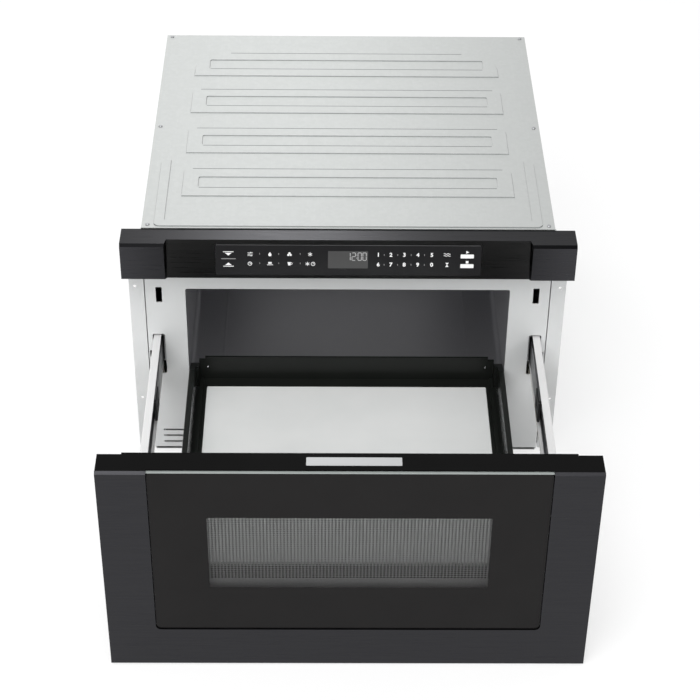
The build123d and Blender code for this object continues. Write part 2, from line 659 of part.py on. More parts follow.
def slide_section(web_x, tip_x, half_height, wall, track_x, inner_track, outer_track):
    """A channel in the XZ plane, lips from its web to tip_x, tracks in its lips."""
    low_x, high_x = min(web_x, tip_x), max(web_x, tip_x)
    web = (low_x, low_x + wall) if web_x < tip_x else (high_x - wall, high_x)
    with BuildSketch() as section:
        window((low_x, high_x), (SLIDE_Z - half_height, SLIDE_Z + half_height))
        fillet(section.vertices(), 0.6)
        inside = (web[1], high_x + 1) if web_x < tip_x else (low_x - 1, web[0])
        window(inside, (SLIDE_Z - half_height + wall, SLIDE_Z + half_height - wall), Mode.SUBTRACT)
        for side in (-1, 1):
            if inner_track:
                z = SLIDE_Z + side * (half_height - wall - BALL / 2 + 0.5)
                with Locations((track_x, z)):
                    Circle(BALL / 2, mode=Mode.SUBTRACT)
            if outer_track:
                z = SLIDE_Z + side * (half_height + BALL / 2 - 0.5)
                with Locations((track_x, z)):
                    Circle(BALL / 2, mode=Mode.SUBTRACT)
    return section.sketch


OUTER_X, MIDDLE_X, INNER_X = (255.2, 263.2), (258.2, 265.4), (268.0, 260.6)
OUTER_Y = (FACE_Y + 12, FACE_Y + 452)
MIDDLE_Y = (FACE_Y - 125, FACE_Y + 250)
INNER_Y = (BODY_REAR_Y + 8, FACE_Y + 50)
with BuildPart() as right_slide_outer:
    with BuildSketch(XZ.offset(-OUTER_Y[1])):
        add(slide_section(OUTER_X[0], OUTER_X[1], 22.5, 1.4, 261.0, True, False))
    extrude(amount=OUTER_Y[1] - OUTER_Y[0])
with BuildPart() as right_slide_middle:
    with BuildSketch(XZ.offset(-MIDDLE_Y[1])):
        add(slide_section(MIDDLE_X[0], MIDDLE_X[1], 17.5, 1.3, 261.8, False, True))
    extrude(amount=MIDDLE_Y[1] - MIDDLE_Y[0])
with BuildPart() as right_slide_inner:
    with BuildSketch(XZ.offset(-INNER_Y[1])):
        add(slide_section(INNER_X[0], INNER_X[1], 12.5, 1.4, 262.8, False, True))
    extrude(amount=INNER_Y[1] - INNER_Y[0])

# A black plastic buffer on the front end of each middle member. Its pad lies on
# the side that shows, thin enough to pass the outer member's web, and its lip
# covers the end of the member's own web.
STOP_X = (OUTER_X[0] + 1.4 + 0.3, MIDDLE_X[0])
STOP_LENGTH = 30.0
STOP_LIP = 6.0
with BuildPart() as right_slide_stop:
    with BuildSketch(Plane.YZ.offset(STOP_X[0])):
        window((MIDDLE_Y[0] - STOP_LIP, MIDDLE_Y[0] + STOP_LENGTH),
               (SLIDE_Z - 17, SLIDE_Z + 17), radius=3)
        with Locations((MIDDLE_Y[0] + STOP_LENGTH / 2, SLIDE_Z)):
            SlotOverall(18, 8, mode=Mode.SUBTRACT)
    extrude(amount=STOP_X[1] - STOP_X[0])
    chamfer(right_slide_stop.faces().sort_by(Axis.X)[0].outer_wire().edges(), 0.5)
    block((STOP_X[1], INNER_X[1] - 0.3), (MIDDLE_Y[0] - STOP_LIP + 0.5, MIDDLE_Y[0]),
          (SLIDE_Z - 16, SLIDE_Z + 16))

# Long channels carry the outer members at the cavity's sides.
BRACKET_Z = (150.0, 206.0)
with BuildPart() as right_slide_bracket:
    with BuildSketch(XZ.offset(-(FACE_Y + 458))):
        with BuildLine():
            Polyline(
                (CAVITY_HALF + LINER, BRACKET_Z[0]),
                (OUTER_X[0], BRACKET_Z[0]),
                (OUTER_X[0], BRACKET_Z[1]),
                (CAVITY_HALF + LINER, BRACKET_Z[1]),
                (CAVITY_HALF + LINER, BRACKET_Z[1] - SHEET),
                (OUTER_X[0] - SHEET, BRACKET_Z[1] - SHEET),
                (OUTER_X[0] - SHEET, BRACKET_Z[0] + SHEET),
                (CAVITY_HALF + LINER, BRACKET_Z[0] + SHEET),
                close=True,
            )
        make_face()
    extrude(amount=446)
    for y in (FACE_Y + 110, FACE_Y + 230, FACE_Y + 350):
        with BuildSketch(Plane.YZ.offset(OUTER_X[0] - SHEET)):
            with Locations((y, SLIDE_Z)):
                SlotOverall(40, 20)
        extrude(amount=SHEET, mode=Mode.SUBTRACT)

# The drawer's arms: white channels that open inwards, over the inner members.
# Each passes through the drawer front's inner panel and ends in a screwed foot.
with BuildPart() as right_arm:
    with BuildSketch(XZ.offset(-ARM_REAR_Y)) as channel:
        window(ARM_X, ARM_Z)
        fillet(channel.vertices().group_by(Axis.X)[-1], 2)
        window((ARM_X[0] - 1, ARM_X[1] - ARM_SHEET),
               (ARM_Z[0] + ARM_SHEET, ARM_Z[1] - ARM_SHEET), Mode.SUBTRACT)
    extrude(amount=ARM_REAR_Y - FOOT_Y)
    block((ARM_X[0] - 12, ARM_X[1] + 2.5), (FOOT_Y - ARM_SHEET, FOOT_Y),
          (ARM_Z[0] - 10, ARM_Z[1] + 10))
    for y in (BODY_REAR_Y + 40, FACE_Y - 60):
        with BuildSketch(Plane.YZ.offset(ARM_X[1] - ARM_SHEET)):
            with Locations((y, ARM_Z[1] - 8)):
                SlotOverall(16, 5)
        extrude(amount=ARM_SHEET, mode=Mode.SUBTRACT)

# The rack under each arm, teeth down. One of its teeth stands over the shaft.
RACK_Y = (FACE_Y - 345, FACE_Y + 75)
RACK_X = (ARM_X[0] + 0.5, ARM_X[1] - 0.5)
RACK_BACKLASH = 0.3
TOOTH_PITCH = pi * MODULE
with BuildPart() as right_rack:
    tip_z, root_z = PITCH_Z - 0.85 * MODULE, PITCH_Z + 1.2 * MODULE
    half_pitch = pi * MODULE / 4 - RACK_BACKLASH / 2
    half_tip = half_pitch - 0.85 * MODULE * tan(PRESSURE)
    half_root = half_pitch + 1.2 * MODULE * tan(PRESSURE)
    with BuildSketch(Plane.YZ.offset(RACK_X[0])):
        window(RACK_Y, (root_z, ARM_Z[0]))
        first = int((RACK_Y[0] + half_root - SHAFT_Y) / TOOTH_PITCH)
        last = int((RACK_Y[1] - half_root - SHAFT_Y) / TOOTH_PITCH)
        with BuildSketch(mode=Mode.PRIVATE) as rack_tooth:
            with BuildLine():
                Polyline(
                    (-half_root, root_z + 0.2),
                    (-half_root, root_z),
                    (-half_tip, tip_z),
                    (half_tip, tip_z),
                    (half_root, root_z),
                    (half_root, root_z + 0.2),
                    close=True,
                )
            make_face()
        with Locations([(SHAFT_Y + TOOTH_PITCH * n, 0) for n in range(first, last + 1)]):
            add(rack_tooth.sketch)
    extrude(amount=RACK_X[1] - RACK_X[0])

with BuildPart() as left_slide_outer:
    mirror(right_slide_outer.part, about=Plane.YZ)
with BuildPart() as left_slide_middle:
    mirror(right_slide_middle.part, about=Plane.YZ)
with BuildPart() as left_slide_inner:
    mirror(right_slide_inner.part, about=Plane.YZ)
with BuildPart() as left_slide_stop:
    mirror(right_slide_stop.part, about=Plane.YZ)
with BuildPart() as slide_brackets:
    add(right_slide_bracket.part)
    mirror(right_slide_bracket.part, about=Plane.YZ)
with BuildPart() as left_arm:
    mirror(right_arm.part, about=Plane.YZ)
with BuildPart() as left_rack:
    mirror(right_rack.part, about=Plane.YZ)

# ================================================================ the drive

# A cross shaft under the cavity turns both side gears together.
GEAR_X = (RACK_X[0] + 0.5, RACK_X[1] - 0.5)
SHAFT_END = 271.0
with BuildPart() as cross_shaft:
    with BuildSketch(Plane.YZ.offset(-SHAFT_END)):
        with Locations((SHAFT_Y, SHAFT_Z)):
            Circle(SHAFT_RADIUS)
    extrude(amount=2 * SHAFT_END)
    chamfer(cross_shaft.edges().filter_by(GeomType.CIRCLE), 0.6)

with BuildPart() as right_drive_gear:
    with BuildSketch(Plane.YZ.offset(GEAR_X[0])):
        with Locations((SHAFT_Y, SHAFT_Z)):
            add(gear_face(GEAR_TEETH, MODULE))
            Circle(SHAFT_RADIUS, mode=Mode.SUBTRACT)
            with PolarLocations(27, 6, start_angle=30):
                Circle(10, mode=Mode.SUBTRACT)
    extrude(amount=GEAR_X[1] - GEAR_X[0])
    with BuildSketch(Plane.YZ.offset(GEAR_X[0] - 8)):
        with Locations((SHAFT_Y, SHAFT_Z)):
            Circle(11)
            Circle(SHAFT_RADIUS, mode=Mode.SUBTRACT)
    extrude(amount=8)
with BuildPart() as left_drive_gear:
    mirror(right_drive_gear.part, about=Plane.YZ)

FINE_X = (239.0, 249.0)
with BuildPart() as shaft_gear:
    with BuildSketch(Plane.YZ.offset(FINE_X[0])):
        with Locations((SHAFT_Y, SHAFT_Z)):
            add(gear_face(FINE_GEAR_TEETH, FINE_MODULE))
            Circle(SHAFT_RADIUS, mode=Mode.SUBTRACT)
    extrude(amount=FINE_X[1] - FINE_X[0])
    with BuildSketch(Plane.YZ.offset(FINE_X[0] - 2)):
        with Locations((SHAFT_Y, SHAFT_Z)):
            Circle(9)
            Circle(SHAFT_RADIUS, mode=Mode.SUBTRACT)
    extrude(amount=2)

# Bearings: two stands on the base plate, under the cavity, and a hanger under
# each slide bracket, beside the gears.
STAND_X = (-40.0, 130.0)
HANGER_X = (228.0, -236.0)
BEARING_WIDTH = 8.0
with BuildPart() as shaft_bearings:
    for x in STAND_X + HANGER_X:
        foot_z, foot = (SHEET, 22) if x in STAND_X else (BRACKET_Z[0], 16)
        with BuildSketch(Plane.YZ.offset(x)):
            with BuildLine():
                Polyline((SHAFT_Y - foot, foot_z), (SHAFT_Y + foot, foot_z),
                         (SHAFT_Y + 8, SHAFT_Z), (SHAFT_Y - 8, SHAFT_Z), close=True)
            make_face()
            with Locations((SHAFT_Y, SHAFT_Z)):
                Circle(8)
                Circle(SHAFT_RADIUS + RUNNING_GAP, mode=Mode.SUBTRACT)
        extrude(amount=BEARING_WIDTH)

# The gearmotor: a flat gear case with the pinion on one side, the motor on the other.
CASE_X = (200.0, 226.0)
MOTOR_LENGTH = 48.0
with BuildPart() as drive_gearbox:
    with BuildSketch(Plane.YZ.offset(CASE_X[0])):
        window((SHAFT_Y - 34, SHAFT_Y + 44), (22, 84), radius=12)
    extrude(amount=CASE_X[1] - CASE_X[0])
    chamfer(drive_gearbox.edges().group_by(Axis.X)[-1], 1.5)
    with BuildSketch(Plane.YZ.offset(CASE_X[1] - 14)):
        with Locations((SHAFT_Y, PINION_Z)):
            Circle(SHAFT_RADIUS + RUNNING_GAP)
    extrude(amount=14, mode=Mode.SUBTRACT)
    block((CASE_X[0] + 4, CASE_X[1] - 4), (SHAFT_Y - 30, SHAFT_Y + 40), (SHEET, 22.5))
with BuildPart() as drive_motor:
    with BuildSketch(Plane.YZ.offset(CASE_X[0] - MOTOR_LENGTH)):
        with Locations((SHAFT_Y + 16, 50)):
            Circle(19)
            Rectangle(40, 31, mode=Mode.INTERSECT)
    extrude(amount=MOTOR_LENGTH)
    chamfer(drive_motor.edges().group_by(Axis.X)[0], 1.5)
    with BuildSketch(Plane.YZ.offset(CASE_X[0] - MOTOR_LENGTH - 3)):
        with Locations((SHAFT_Y + 16, 50)):
            Circle(6)
    extrude(amount=3)
with BuildPart() as motor_pinion:
    with BuildSketch(Plane.YZ.offset(FINE_X[0] + 0.5)):
        with Locations((SHAFT_Y, PINION_Z)):
            add(gear_face(PINION_TEETH, FINE_MODULE, on_tooth=True))
    extrude(amount=9)
    with BuildSketch(Plane.YZ.offset(CASE_X[1] - 13)):
        with Locations((SHAFT_Y, PINION_Z)):
            Circle(SHAFT_RADIUS)
    extrude(amount=FINE_X[0] + 0.5 - CASE_X[1] + 13)

# ================================================================ interlocks

# Behind each upper slot, a switch block stands off the front plate. Its sprung
# plunger waits just behind the tip of the closed drawer's hook.
HOOK_X, HOOK_Z = 258.75, 277.0
HOOK_REACH = 28.5
PLUNGER_RADIUS = 3.0
PLUNGER_Y = BODY_REAR_Y + TRAVEL + HOOK_REACH + 0.4
SWITCH_Y = (PLUNGER_Y + 8, PLUNGER_Y + 30)
with BuildPart() as right_switch:
    block((HOOK_X - 10, HOOK_X + 10), SWITCH_Y, (HOOK_Z - 15, HOOK_Z + 15))
    block((HOOK_X + 8.5, HOOK_X + 10), (FACE_Y + SHEET, SWITCH_Y[0]), (HOOK_Z - 15, HOOK_Z + 15))
    with BuildSketch(XZ.offset(-(PLUNGER_Y + 27))):
        with Locations((HOOK_X, HOOK_Z)):
            Circle(PLUNGER_RADIUS + RUNNING_GAP)
    extrude(amount=27, mode=Mode.SUBTRACT)
    for z in (HOOK_Z - 9, HOOK_Z + 9):
        block((HOOK_X - 2, HOOK_X + 2), (SWITCH_Y[1], SWITCH_Y[1] + 8), (z - 3, z + 3))
with BuildPart() as interlock_switches:
    add(right_switch.part)
    mirror(right_switch.part, about=Plane.YZ)

with BuildPart() as right_plunger:
    with BuildSketch(XZ.offset(-(PLUNGER_Y + 22))):
        with Locations((HOOK_X, HOOK_Z)):
            Circle(PLUNGER_RADIUS)
    extrude(amount=22)
    fillet(right_plunger.edges().group_by(Axis.Y)[0], 1)
with BuildPart() as left_plunger:
    mirror(right_plunger.part, about=Plane.YZ)

# ================================================================ the drawer front

# The U-shaped frame: two stiles and a bottom rail, one folded sheet that is
# open at the back and at the top, where the black cap closes it.
FRAME_REAR_Y = DOOR_Y + FRAME_DEPTH
FRAME_SKIN = 1.2
CAP_Z = DOOR_Z[1] - 2.0
with BuildPart() as door_frame:
    with BuildSketch(XZ.offset(-FRAME_REAR_Y)):
        window((-FRONT_WIDTH / 2, FRONT_WIDTH / 2), DOOR_Z)
        with Locations((0, RAIL_TOP_Z + 150)):
            RectangleRounded(2 * STILE_X, 300, RAIL_RADIUS, mode=Mode.SUBTRACT)
        window((-STILE_X, STILE_X), (RAIL_TOP_Z + 200, DOOR_Z[1]), Mode.SUBTRACT)
    extrude(amount=FRAME_DEPTH)
    front_top = door_frame.edges().filter_by(Axis.X).filter_by(
        lambda e: abs(e.center().Z - DOOR_Z[1]) < 0.1 and e.center().Y < DOOR_Y + 0.1
    )
    chamfer(front_top, EDGE_CHAMFER - 0.4)
    offset(amount=-FRAME_SKIN, openings=door_frame.faces().sort_by(Axis.Y)[-1])
    block((-FRONT_WIDTH / 2, FRONT_WIDTH / 2), (DOOR_Y + EDGE_CHAMFER, FRAME_REAR_Y),
          (CAP_Z, DOOR_Z[1]), Mode.SUBTRACT)

# Black glass between the stiles, with a polished top edge.
PANE_Y = (DOOR_Y + 2.0, DOOR_Y + 6.0)
PANE_TOP_Z = DOOR_Z[1] - 1.9
with BuildPart() as door_glass:
    with BuildSketch(XZ.offset(-PANE_Y[1])) as pane:
        window((-STILE_X + 0.4, STILE_X - 0.4), (RAIL_TOP_Z + 0.4, PANE_TOP_Z))
        fillet(pane.vertices().group_by(Axis.Y)[0], RAIL_RADIUS - 0.4)
    extrude(amount=PANE_Y[1] - PANE_Y[0])
    top_edges = door_glass.edges().group_by(Axis.Z)[-1].filter_by(Axis.X)
    chamfer(top_edges, 0.6)

# The inner body: a box behind the glass with a window wall in it, and a rear
# plate that closes on the front plate around the cavity mouth.
BOX_X = STILE_X - 0.4
BOX_Z = (RAIL_TOP_Z + 0.4, CAP_Z - 0.1)
BOX_WALL = 1.5
FOLD = 3.3                  # folded edge of the rear plate
WALL_Y = (DOOR_Y + 9.0, DOOR_Y + 10.5)
with BuildPart() as door_body:
    block((-BOX_X, BOX_X), (PANE_Y[1], FOOT_Y), BOX_Z)
    fillet(door_body.edges().filter_by(Axis.Y).group_by(Axis.Z)[0], RAIL_RADIUS - 0.4)
    block((-BOX_X + BOX_WALL, BOX_X - BOX_WALL), (PANE_Y[1], WALL_Y[0]),
          (BOX_Z[0] + BOX_WALL, BOX_Z[1] - BOX_WALL), Mode.SUBTRACT)
    block((-BOX_X + BOX_WALL, BOX_X - BOX_WALL), (WALL_Y[1], FOOT_Y),
          (BOX_Z[0] + BOX_WALL, BOX_Z[1] - BOX_WALL), Mode.SUBTRACT)
    with BuildSketch(XZ.offset(-BODY_REAR_Y)):
        window((-BODY_HALF, BODY_HALF), (DOOR_Z[0] + 3, CAP_Z - 0.1), radius=4)
        for x in both((ARM_X[0] - 0.6, ARM_X[1] + 0.6)):
            window(x, (ARM_Z[0] - 0.6, ARM_Z[1] + 0.6), Mode.SUBTRACT, 2)
        window((-WINDOW_HALF, WINDOW_HALF), INNER_WINDOW_Z, Mode.SUBTRACT, 4)
    extrude(amount=BODY_PLATE)
    with BuildSketch(XZ.offset(-(BODY_REAR_Y - BODY_PLATE))):
        window((-BODY_HALF, BODY_HALF), (DOOR_Z[0] + 3, CAP_Z - 0.1), radius=4)
        window((-BODY_HALF + BOX_WALL, BODY_HALF - BOX_WALL),
               (DOOR_Z[0] + 3 + BOX_WALL, CAP_Z - 0.1 - BOX_WALL), Mode.SUBTRACT, 2.5)
    extrude(amount=FOLD - BODY_PLATE)
    with BuildSketch(XZ.offset(-WALL_Y[1])):
        window((-WINDOW_HALF, WINDOW_HALF), WINDOW_Z, radius=3)
    extrude(amount=2, mode=Mode.SUBTRACT)

with BuildPart() as perforated_screen:
    with BuildSketch(XZ.offset(-(WALL_Y[1] + 0.8))):
        window((-WINDOW_HALF - 8, WINDOW_HALF + 8), (WINDOW_Z[0] - 8, WINDOW_Z[1] + 8), radius=4)
    extrude(amount=0.8)

with BuildPart() as inner_window:
    with BuildSketch(XZ.offset(-(BODY_REAR_Y - 0.6))):
        window((-WINDOW_HALF + 0.3, WINDOW_HALF - 0.3),
               (INNER_WINDOW_Z[0] + 0.3, INNER_WINDOW_Z[1] - 0.3), radius=3.7)
    extrude(amount=2.4)

# The cap: glossy black top of the drawer front, from stile to stile.
with BuildPart() as door_top_cap:
    with BuildSketch(Plane.XY.offset(CAP_Z)):
        window((-FRONT_WIDTH / 2 + 0.3, FRONT_WIDTH / 2 - 0.3),
               (DOOR_Y + EDGE_CHAMFER + 0.1, FRAME_REAR_Y))
        window((-BODY_HALF, BODY_HALF), (FRAME_REAR_Y, BODY_REAR_Y))
        window((-STILE_X + 0.2, STILE_X - 0.2), (DOOR_Y, PANE_Y[1] + 0.1), Mode.SUBTRACT)
    extrude(amount=DOOR_Z[1] - CAP_Z - 0.1)
    chamfer(door_top_cap.edges().group_by(Axis.Z)[-1].group_by(Axis.Y)[-1], 0.6)

# Hooks on the drawer front's back that enter the upper slots and work the switches.
with BuildPart() as latch_hooks:
    for x in (-HOOK_X, HOOK_X):
        with BuildSketch(Plane.YZ.offset(x - 2.5)):
            with BuildLine():
                Polyline(
                    (BODY_REAR_Y + HOOK_REACH - 6, 284),
                    (BODY_REAR_Y, 288),
                    (BODY_REAR_Y, 273),
                    (BODY_REAR_Y + 17, 273),
                    (BODY_REAR_Y + 19, 268.5),
                    (BODY_REAR_Y + HOOK_REACH - 4, 270),
                )
                ThreePointArc(
                    (BODY_REAR_Y + HOOK_REACH - 4, 270),
                    (BODY_REAR_Y + HOOK_REACH, 277),
                    (BODY_REAR_Y + HOOK_REACH - 6, 284),
                )
            make_face()
        extrude(amount=5)

# ================================================================ the tub

# The black tub that carries the glass tray: rims at the sides that slope down at
# their rear ends, a ledge round the tray with a guide rail on each side, and a
# rear wall that steps down at both corners.
TUB_FRONT_WALL = 5.0
REAR_WALL = 3.0
TUB_SHEET = 1.3             # the sides are folded, hollow and open underneath
POST_Y = TUB_REAR_Y - 20.0
POST_X = 209.5              # inner faces of the rear corners
SLOPE_Y = TUB_REAR_Y - 35.5             # where the rims begin to slope down
CORNER_Z = 141.0
WALL_TOP_Z = 153.6
WALL_STEP_X, WALL_STEP_Z = 200.8, 148.7
GUIDE_X, GUIDE_WIDTH, GUIDE_HEIGHT = 206.3, 5.6, 3.5
LEDGE_IN_Z = 111.0
INSIDE_X = TUB_HALF - RIM
TRAY_Y = (BODY_REAR_Y + 9.3, TRAY_REAR_Y)
with BuildPart() as tub_frame:
    block((-TUB_HALF, TUB_HALF), (BODY_REAR_Y, TUB_REAR_Y), (TUB_BOTTOM_Z, RIM_Z))
    fillet(tub_frame.edges().filter_by(Axis.Y).group_by(Axis.Z)[0], 4)
    fillet(tub_frame.edges().filter_by(Axis.Y).group_by(Axis.Z)[-1], 2)
    block((-INSIDE_X, INSIDE_X), (BODY_REAR_Y + TUB_FRONT_WALL, POST_Y),
          (TRAY_TOP_Z, RIM_Z), Mode.SUBTRACT)
    block((-POST_X, POST_X), (POST_Y, TUB_REAR_Y - REAR_WALL), (TRAY_TOP_Z, RIM_Z), Mode.SUBTRACT)
    block((-INSIDE_X, INSIDE_X), (BODY_REAR_Y, BODY_REAR_Y + TUB_FRONT_WALL),
          (FRONT_RIM_Z, RIM_Z), Mode.SUBTRACT)
    with BuildSketch(Plane.XY.offset(LEDGE_IN_Z)):
        window((-TRAY_HALF - 0.3, TRAY_HALF + 0.3), (TRAY_Y[0] - 0.3, TRAY_Y[1] + 0.3),
               radius=TRAY_RADIUS + 0.3)
    extrude(amount=TRAY_TOP_Z - LEDGE_IN_Z, mode=Mode.SUBTRACT)
    for x in both((INSIDE_X + TUB_SHEET, TUB_HALF - TUB_SHEET)):
        block(x, (BODY_REAR_Y + TUB_FRONT_WALL, SLOPE_Y - TUB_SHEET),
              (TUB_BOTTOM_Z - 1, RIM_Z - TUB_SHEET), Mode.SUBTRACT)
    for side in (-1, 1):
        with BuildSketch(XZ.offset(-(TUB_REAR_Y + 1))) as step:
            with BuildLine():
                Polyline(
                    (0, RIM_Z + 1),
                    (0, WALL_TOP_Z),
                    (side * WALL_STEP_X, WALL_TOP_Z),
                    (side * WALL_STEP_X, WALL_STEP_Z),
                    (side * POST_X, WALL_STEP_Z),
                    (side * POST_X, RIM_Z + 1),
                    close=True,
                )
            make_face()
            corner = step.vertices().filter_by(
                lambda v: abs(abs(v.X) - WALL_STEP_X) < 0.1 and abs(v.Z - WALL_TOP_Z) < 0.1
            )
            fillet(corner, 3)
        extrude(amount=REAR_WALL + 2, mode=Mode.SUBTRACT)
        with BuildSketch(Plane.YZ.offset(min(side * POST_X, side * (TUB_HALF + 1)))):
            with BuildLine():
                Polyline(
                    (SLOPE_Y, RIM_Z),
                    (TUB_REAR_Y, CORNER_Z),
                    (TUB_REAR_Y + 1, CORNER_Z),
                    (TUB_REAR_Y + 1, RIM_Z + 1),
                    (SLOPE_Y, RIM_Z + 1),
                    close=True,
                )
            make_face()
        extrude(amount=TUB_HALF + 1 - POST_X, mode=Mode.SUBTRACT)
        guide = (TRAY_Y[0], TUB_REAR_Y - REAR_WALL - 1.5)
        with BuildSketch(Plane.XY.offset(TRAY_TOP_Z)):
            with Locations((side * GUIDE_X, (guide[0] + guide[1]) / 2)):
                SlotOverall(guide[1] - guide[0], GUIDE_WIDTH, rotation=90)
        extrude(amount=GUIDE_HEIGHT)

# Bright steel liners on the inner faces of the tub's sides, bevelled at the rear.
LINER_BEVEL = 52.0
with BuildPart() as tub_side_liners:
    for x in both((INSIDE_X - LINER, INSIDE_X)):
        with BuildSketch(Plane.YZ.offset(x[0])):
            with BuildLine():
                Polyline(
                    (BODY_REAR_Y + TUB_FRONT_WALL, TRAY_TOP_Z),
                    (POST_Y, TRAY_TOP_Z),
                    (POST_Y - LINER_BEVEL, RIM_Z - 2),
                    (BODY_REAR_Y + TUB_FRONT_WALL, RIM_Z - 2),
                    close=True,
                )
            make_face()
        extrude(amount=LINER)

with BuildPart() as glass_tray:
    with BuildSketch(Plane.XY.offset(LEDGE_IN_Z)):
        window((-TRAY_HALF, TRAY_HALF), TRAY_Y, radius=TRAY_RADIUS)
    extrude(amount=TRAY_TOP_Z - LEDGE_IN_Z)
    chamfer(glass_tray.edges().group_by(Axis.Z)[-1], 0.5)

# ================================================================ files

PIECES = {
    "base_plate": base_plate,
    "front_plate": front_plate,
    "left_side_panel": left_side_panel,
    "right_side_panel": right_side_panel,
    "back_panel": back_panel,
    "top_cover": top_cover,
    "mounting_flanges": mounting_flanges,
    "control_panel_housing": control_panel_housing,
    "control_glass": control_glass,
    "control_board": control_board,
    "cavity_liner": cavity_liner,
    "stirrer_cover": stirrer_cover,
    "stirrer_blade": stirrer_blade,
    "stirrer_motor": stirrer_motor,
    "waveguide": waveguide,
    "magnetron": magnetron,
    "fan_shroud": fan_shroud,
    "fan_motor": fan_motor,
    "fan_impeller": fan_impeller,
    "air_guide": air_guide,
    "exhaust_duct": exhaust_duct,
    "hv_transformer": hv_transformer,
    "hv_capacitor": hv_capacitor,
    "power_board": power_board,
    "mains_inlet": mains_inlet,
    "cavity_lamp": cavity_lamp,
    "slide_brackets": slide_brackets,
    "left_slide_outer": left_slide_outer,
    "right_slide_outer": right_slide_outer,
    "left_slide_middle": left_slide_middle,
    "right_slide_middle": right_slide_middle,
    "left_slide_stop": left_slide_stop,
    "right_slide_stop": right_slide_stop,
    "left_slide_inner": left_slide_inner,
    "right_slide_inner": right_slide_inner,
    "left_arm": left_arm,
    "right_arm": right_arm,
    "left_rack": left_rack,
    "right_rack": right_rack,
    "cross_shaft": cross_shaft,
    "left_drive_gear": left_drive_gear,
    "right_drive_gear": right_drive_gear,
    "shaft_gear": shaft_gear,
    "shaft_bearings": shaft_bearings,
    "drive_gearbox": drive_gearbox,
    "drive_motor": drive_motor,
    "motor_pinion": motor_pinion,
    "interlock_switches": interlock_switches,
    "left_plunger": left_plunger,
    "right_plunger": right_plunger,
    "door_frame": door_frame,
    "door_glass": door_glass,
    "door_body": door_body,
    "door_top_cap": door_top_cap,
    "perforated_screen": perforated_screen,
    "inner_window": inner_window,
    "latch_hooks": latch_hooks,
    "tub_frame": tub_frame,
    "tub_side_liners": tub_side_liners,
    "glass_tray": glass_tray,
}

os.makedirs("parts", exist_ok=True)
for name, piece in PIECES.items():
    piece.part.label = name
    export_step(piece.part, f"parts/{name}.step")
print(len(PIECES), "pieces")
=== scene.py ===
import json
from math import atan2, cos, pi, radians, sin, sqrt

import bpy
from mathutils import Matrix, Vector


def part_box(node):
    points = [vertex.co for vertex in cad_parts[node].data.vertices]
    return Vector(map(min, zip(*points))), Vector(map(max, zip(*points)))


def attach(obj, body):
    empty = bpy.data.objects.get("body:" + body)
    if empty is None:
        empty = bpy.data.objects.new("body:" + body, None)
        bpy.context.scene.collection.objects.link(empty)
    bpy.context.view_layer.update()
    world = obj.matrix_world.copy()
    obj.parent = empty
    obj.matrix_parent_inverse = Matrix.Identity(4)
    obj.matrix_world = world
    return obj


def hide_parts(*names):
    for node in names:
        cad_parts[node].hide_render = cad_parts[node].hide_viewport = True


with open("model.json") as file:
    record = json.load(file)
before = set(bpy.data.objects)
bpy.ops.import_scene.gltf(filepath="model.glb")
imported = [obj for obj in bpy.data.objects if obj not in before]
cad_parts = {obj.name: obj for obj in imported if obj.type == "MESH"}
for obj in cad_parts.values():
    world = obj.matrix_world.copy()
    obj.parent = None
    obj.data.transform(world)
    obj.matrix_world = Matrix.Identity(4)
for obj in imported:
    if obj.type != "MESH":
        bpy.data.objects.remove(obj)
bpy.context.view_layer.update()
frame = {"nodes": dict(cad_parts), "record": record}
MM = 0.001
scene = bpy.context.scene

# ------------------------------------------------------------------ camera
# Fitted to the straight edges of the object: place in mm, then its angles.
CAMERA_AT = Vector((-29.47, -2404.81, 1846.2)) * MM
CAMERA_PITCH, CAMERA_YAW, CAMERA_ROLL = radians(37.845), radians(0.901), radians(-0.774)
FOCAL_PIXELS, FRAME_PIXELS, SENSOR = 1933.41, 700, 36.0

ahead = Vector((
    sin(CAMERA_YAW) * cos(CAMERA_PITCH),
    cos(CAMERA_YAW) * cos(CAMERA_PITCH),
    -sin(CAMERA_PITCH),
))
level = Vector((cos(CAMERA_YAW), -sin(CAMERA_YAW), 0))
below = ahead.cross(level)
right = cos(CAMERA_ROLL) * level + sin(CAMERA_ROLL) * below
down = -sin(CAMERA_ROLL) * level + cos(CAMERA_ROLL) * below
camera_data = bpy.data.cameras.new("camera")
camera_data.sensor_width = SENSOR
camera_data.lens = SENSOR * FOCAL_PIXELS / FRAME_PIXELS
camera = bpy.data.objects.new("camera", camera_data)
turn = Matrix((right, -down, -ahead)).transposed().to_4x4()
camera.matrix_world = Matrix.Translation(CAMERA_AT) @ turn
scene.collection.objects.link(camera)
scene.camera = camera
scene.view_settings.view_transform = "Standard"


# ------------------------------------------------------------------ helpers for node trees
def linear(code):
    """The linear colour of an sRGB hex value."""
    parts = [int(code[i:i + 2], 16) / 255 for i in (1, 3, 5)]
    return tuple(p / 12.92 if p <= 0.04045 else ((p + 0.055) / 1.055) ** 2.4 for p in parts) + (1,)


def add(tree, kind, links=None, **settings):
    """Adds a node with its settings; links gives its inputs values or sockets."""
    node = tree.nodes.new(kind)
    for name, value in settings.items():
        setattr(node, name, value)
    for key, value in (links or {}).items():
        if isinstance(value, bpy.types.NodeSocket):
            tree.links.new(value, node.inputs[key])
        else:
            node.inputs[key].default_value = value
    return node


def begin(name):
    """A new material with an empty tree, and its Object coordinates."""
    material = bpy.data.materials.new(name)
    material.use_nodes = True
    tree = material.node_tree
    tree.nodes.clear()
    return material, tree, add(tree, "ShaderNodeTexCoord").outputs["Object"]


def surface(tree, links):
    """Ends a material's tree in one principled shader."""
    shader = add(tree, "ShaderNodeBsdfPrincipled", links)
    add(tree, "ShaderNodeOutputMaterial", {"Surface": shader.outputs["BSDF"]})


